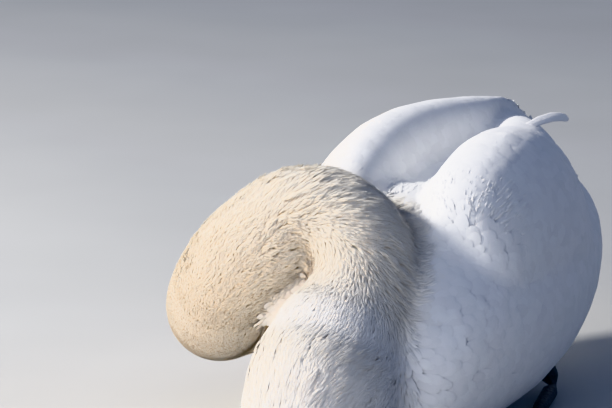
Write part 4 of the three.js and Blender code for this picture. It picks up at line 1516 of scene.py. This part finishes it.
# %% [markdown]
# The claws are short cones of horn that bend down and thin to a blunt point. One is modelled along +X from
# a cylinder of seven rings, each drawn in and moved down a little more than the last, and a copy is set at
# the end of each toe.

# %% Claws
TOE_JOINT = MM * np.array((116.0, -26.0, 0.0))
TOES = (  # turn outwards in radians, length and height of its tip in mm
    (-0.16, 112, 3.4), (0.2, 138, 3.4), (0.56, 126, 3.4), (-2.38, 29, 3.8),
)
CLAW_RADIUS = 2.9 * MM
CLAW_LENGTH = 11 * MM
CLAW_RINGS = 7
CLAW_INTO_TOE = 4 * MM
CLAW_ASIDE = 100  # a ring that is done waits this far off, so that no later ring is picked with it


def model_claw():
    """A cone along +X that bends down and thins to its point."""
    bpy.ops.object.select_all(action="DESELECT")
    bpy.ops.mesh.primitive_cylinder_add(
        vertices=14, radius=CLAW_RADIUS, depth=CLAW_LENGTH, end_fill_type="TRIFAN",
        location=(CLAW_LENGTH / 2, 0, 0), rotation=(0, math.pi / 2, 0),
    )
    claw = bpy.context.view_layer.objects.active
    bpy.ops.object.transform_apply(location=True, rotation=True, scale=True)
    with editing(claw) as shape:
        lengthwise = [e for e in shape.edges if abs(e.verts[0].co.x - e.verts[1].co.x) > 0.5 * CLAW_LENGTH]
        bmesh.ops.subdivide_edges(shape, edges=lengthwise, cuts=CLAW_RINGS - 1, use_grid_fill=True)
        for ring in range(CLAW_RINGS + 1):
            share = ring / CLAW_RINGS
            pick(shape, lambda place: abs(place.x - share * CLAW_LENGTH) < 1e-6)
            thin = 1 - 0.86 * share ** 1.5
            centre = (share * CLAW_LENGTH, 0, 0)
            bpy.ops.transform.resize(value=(1, thin * 0.85, thin), center_override=centre)
            bpy.ops.transform.translate(value=(-CLAW_ASIDE - 1.5 * MM * share ** 2, 0, -1.9 * MM * share ** 2))
        bpy.ops.mesh.select_all(action="SELECT")
        bpy.ops.transform.translate(value=(CLAW_ASIDE, 0, 0))
    apply_modifier(claw, "TRIANGULATE")
    return take_pattern(claw)


claw_points, claw_triangles = model_claw()
print("claw", len(claw_points), "points,", len(claw_triangles), "triangles")

# %% Set the claws on the toes
# Claw horn is smoother than the scutes and catches a small highlight. It is worn paler at the point.
claw_horn, tree, shader = new_material("claw horn", Roughness=0.35, IOR=1.54)
along_claw = node(tree, "Attribute", attribute_name="along").outputs["Fac"]
horn = node(tree, "ValToRGB", {"Fac": along_claw}, stops=[(0.0, "#1c1a18"), (0.7, "#2b2622"), (1.0, "#4a4038")])
tree.links.new(horn.outputs["Color"], shader.inputs["Base Color"])
for side, side_name in SIDE_NAMES.items():
    points, triangles = [], []
    for turn, length, height in TOES:
        way = np.array((math.sin(turn), -math.cos(turn), 0))
        aside = np.array((-way[1], way[0], 0))
        root = TOE_JOINT + way * (length * MM - CLAW_INTO_TOE) + (0, 0, height * MM)
        placed = root + claw_points @ np.stack([way, aside, np.array((0, 0, 1.0))])
        placed[:, 2] = np.maximum(placed[:, 2], 0.1 * MM)
        flip = placed * (side, 1, 1)
        triangles += [[len(points) + i for i in (t if side > 0 else t[::-1])] for t in claw_triangles]
        points += flip.tolist()
    mesh = bpy.data.meshes.new(f"claws_{side_name}")
    mesh.from_pydata(points, [], triangles)
    claws = bpy.data.objects.new(f"claws_{side_name}", mesh)
    bpy.context.scene.collection.objects.link(claws)
    attribute(claws, "along", np.tile(claw_points[:, 0] / CLAW_LENGTH, len(TOES)))
    with editing(claws):
        bpy.ops.mesh.normals_make_consistent(inside=False)
    bpy.ops.object.shade_smooth()
    mesh.materials.append(claw_horn)
    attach(claws, "root")
print(len(TOES), "claws on each foot")

# %% [markdown]
# Last, the size of the whole model is measured. Feathers can stand a few millimetres past the solids.

# %% Sizes
low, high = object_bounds()
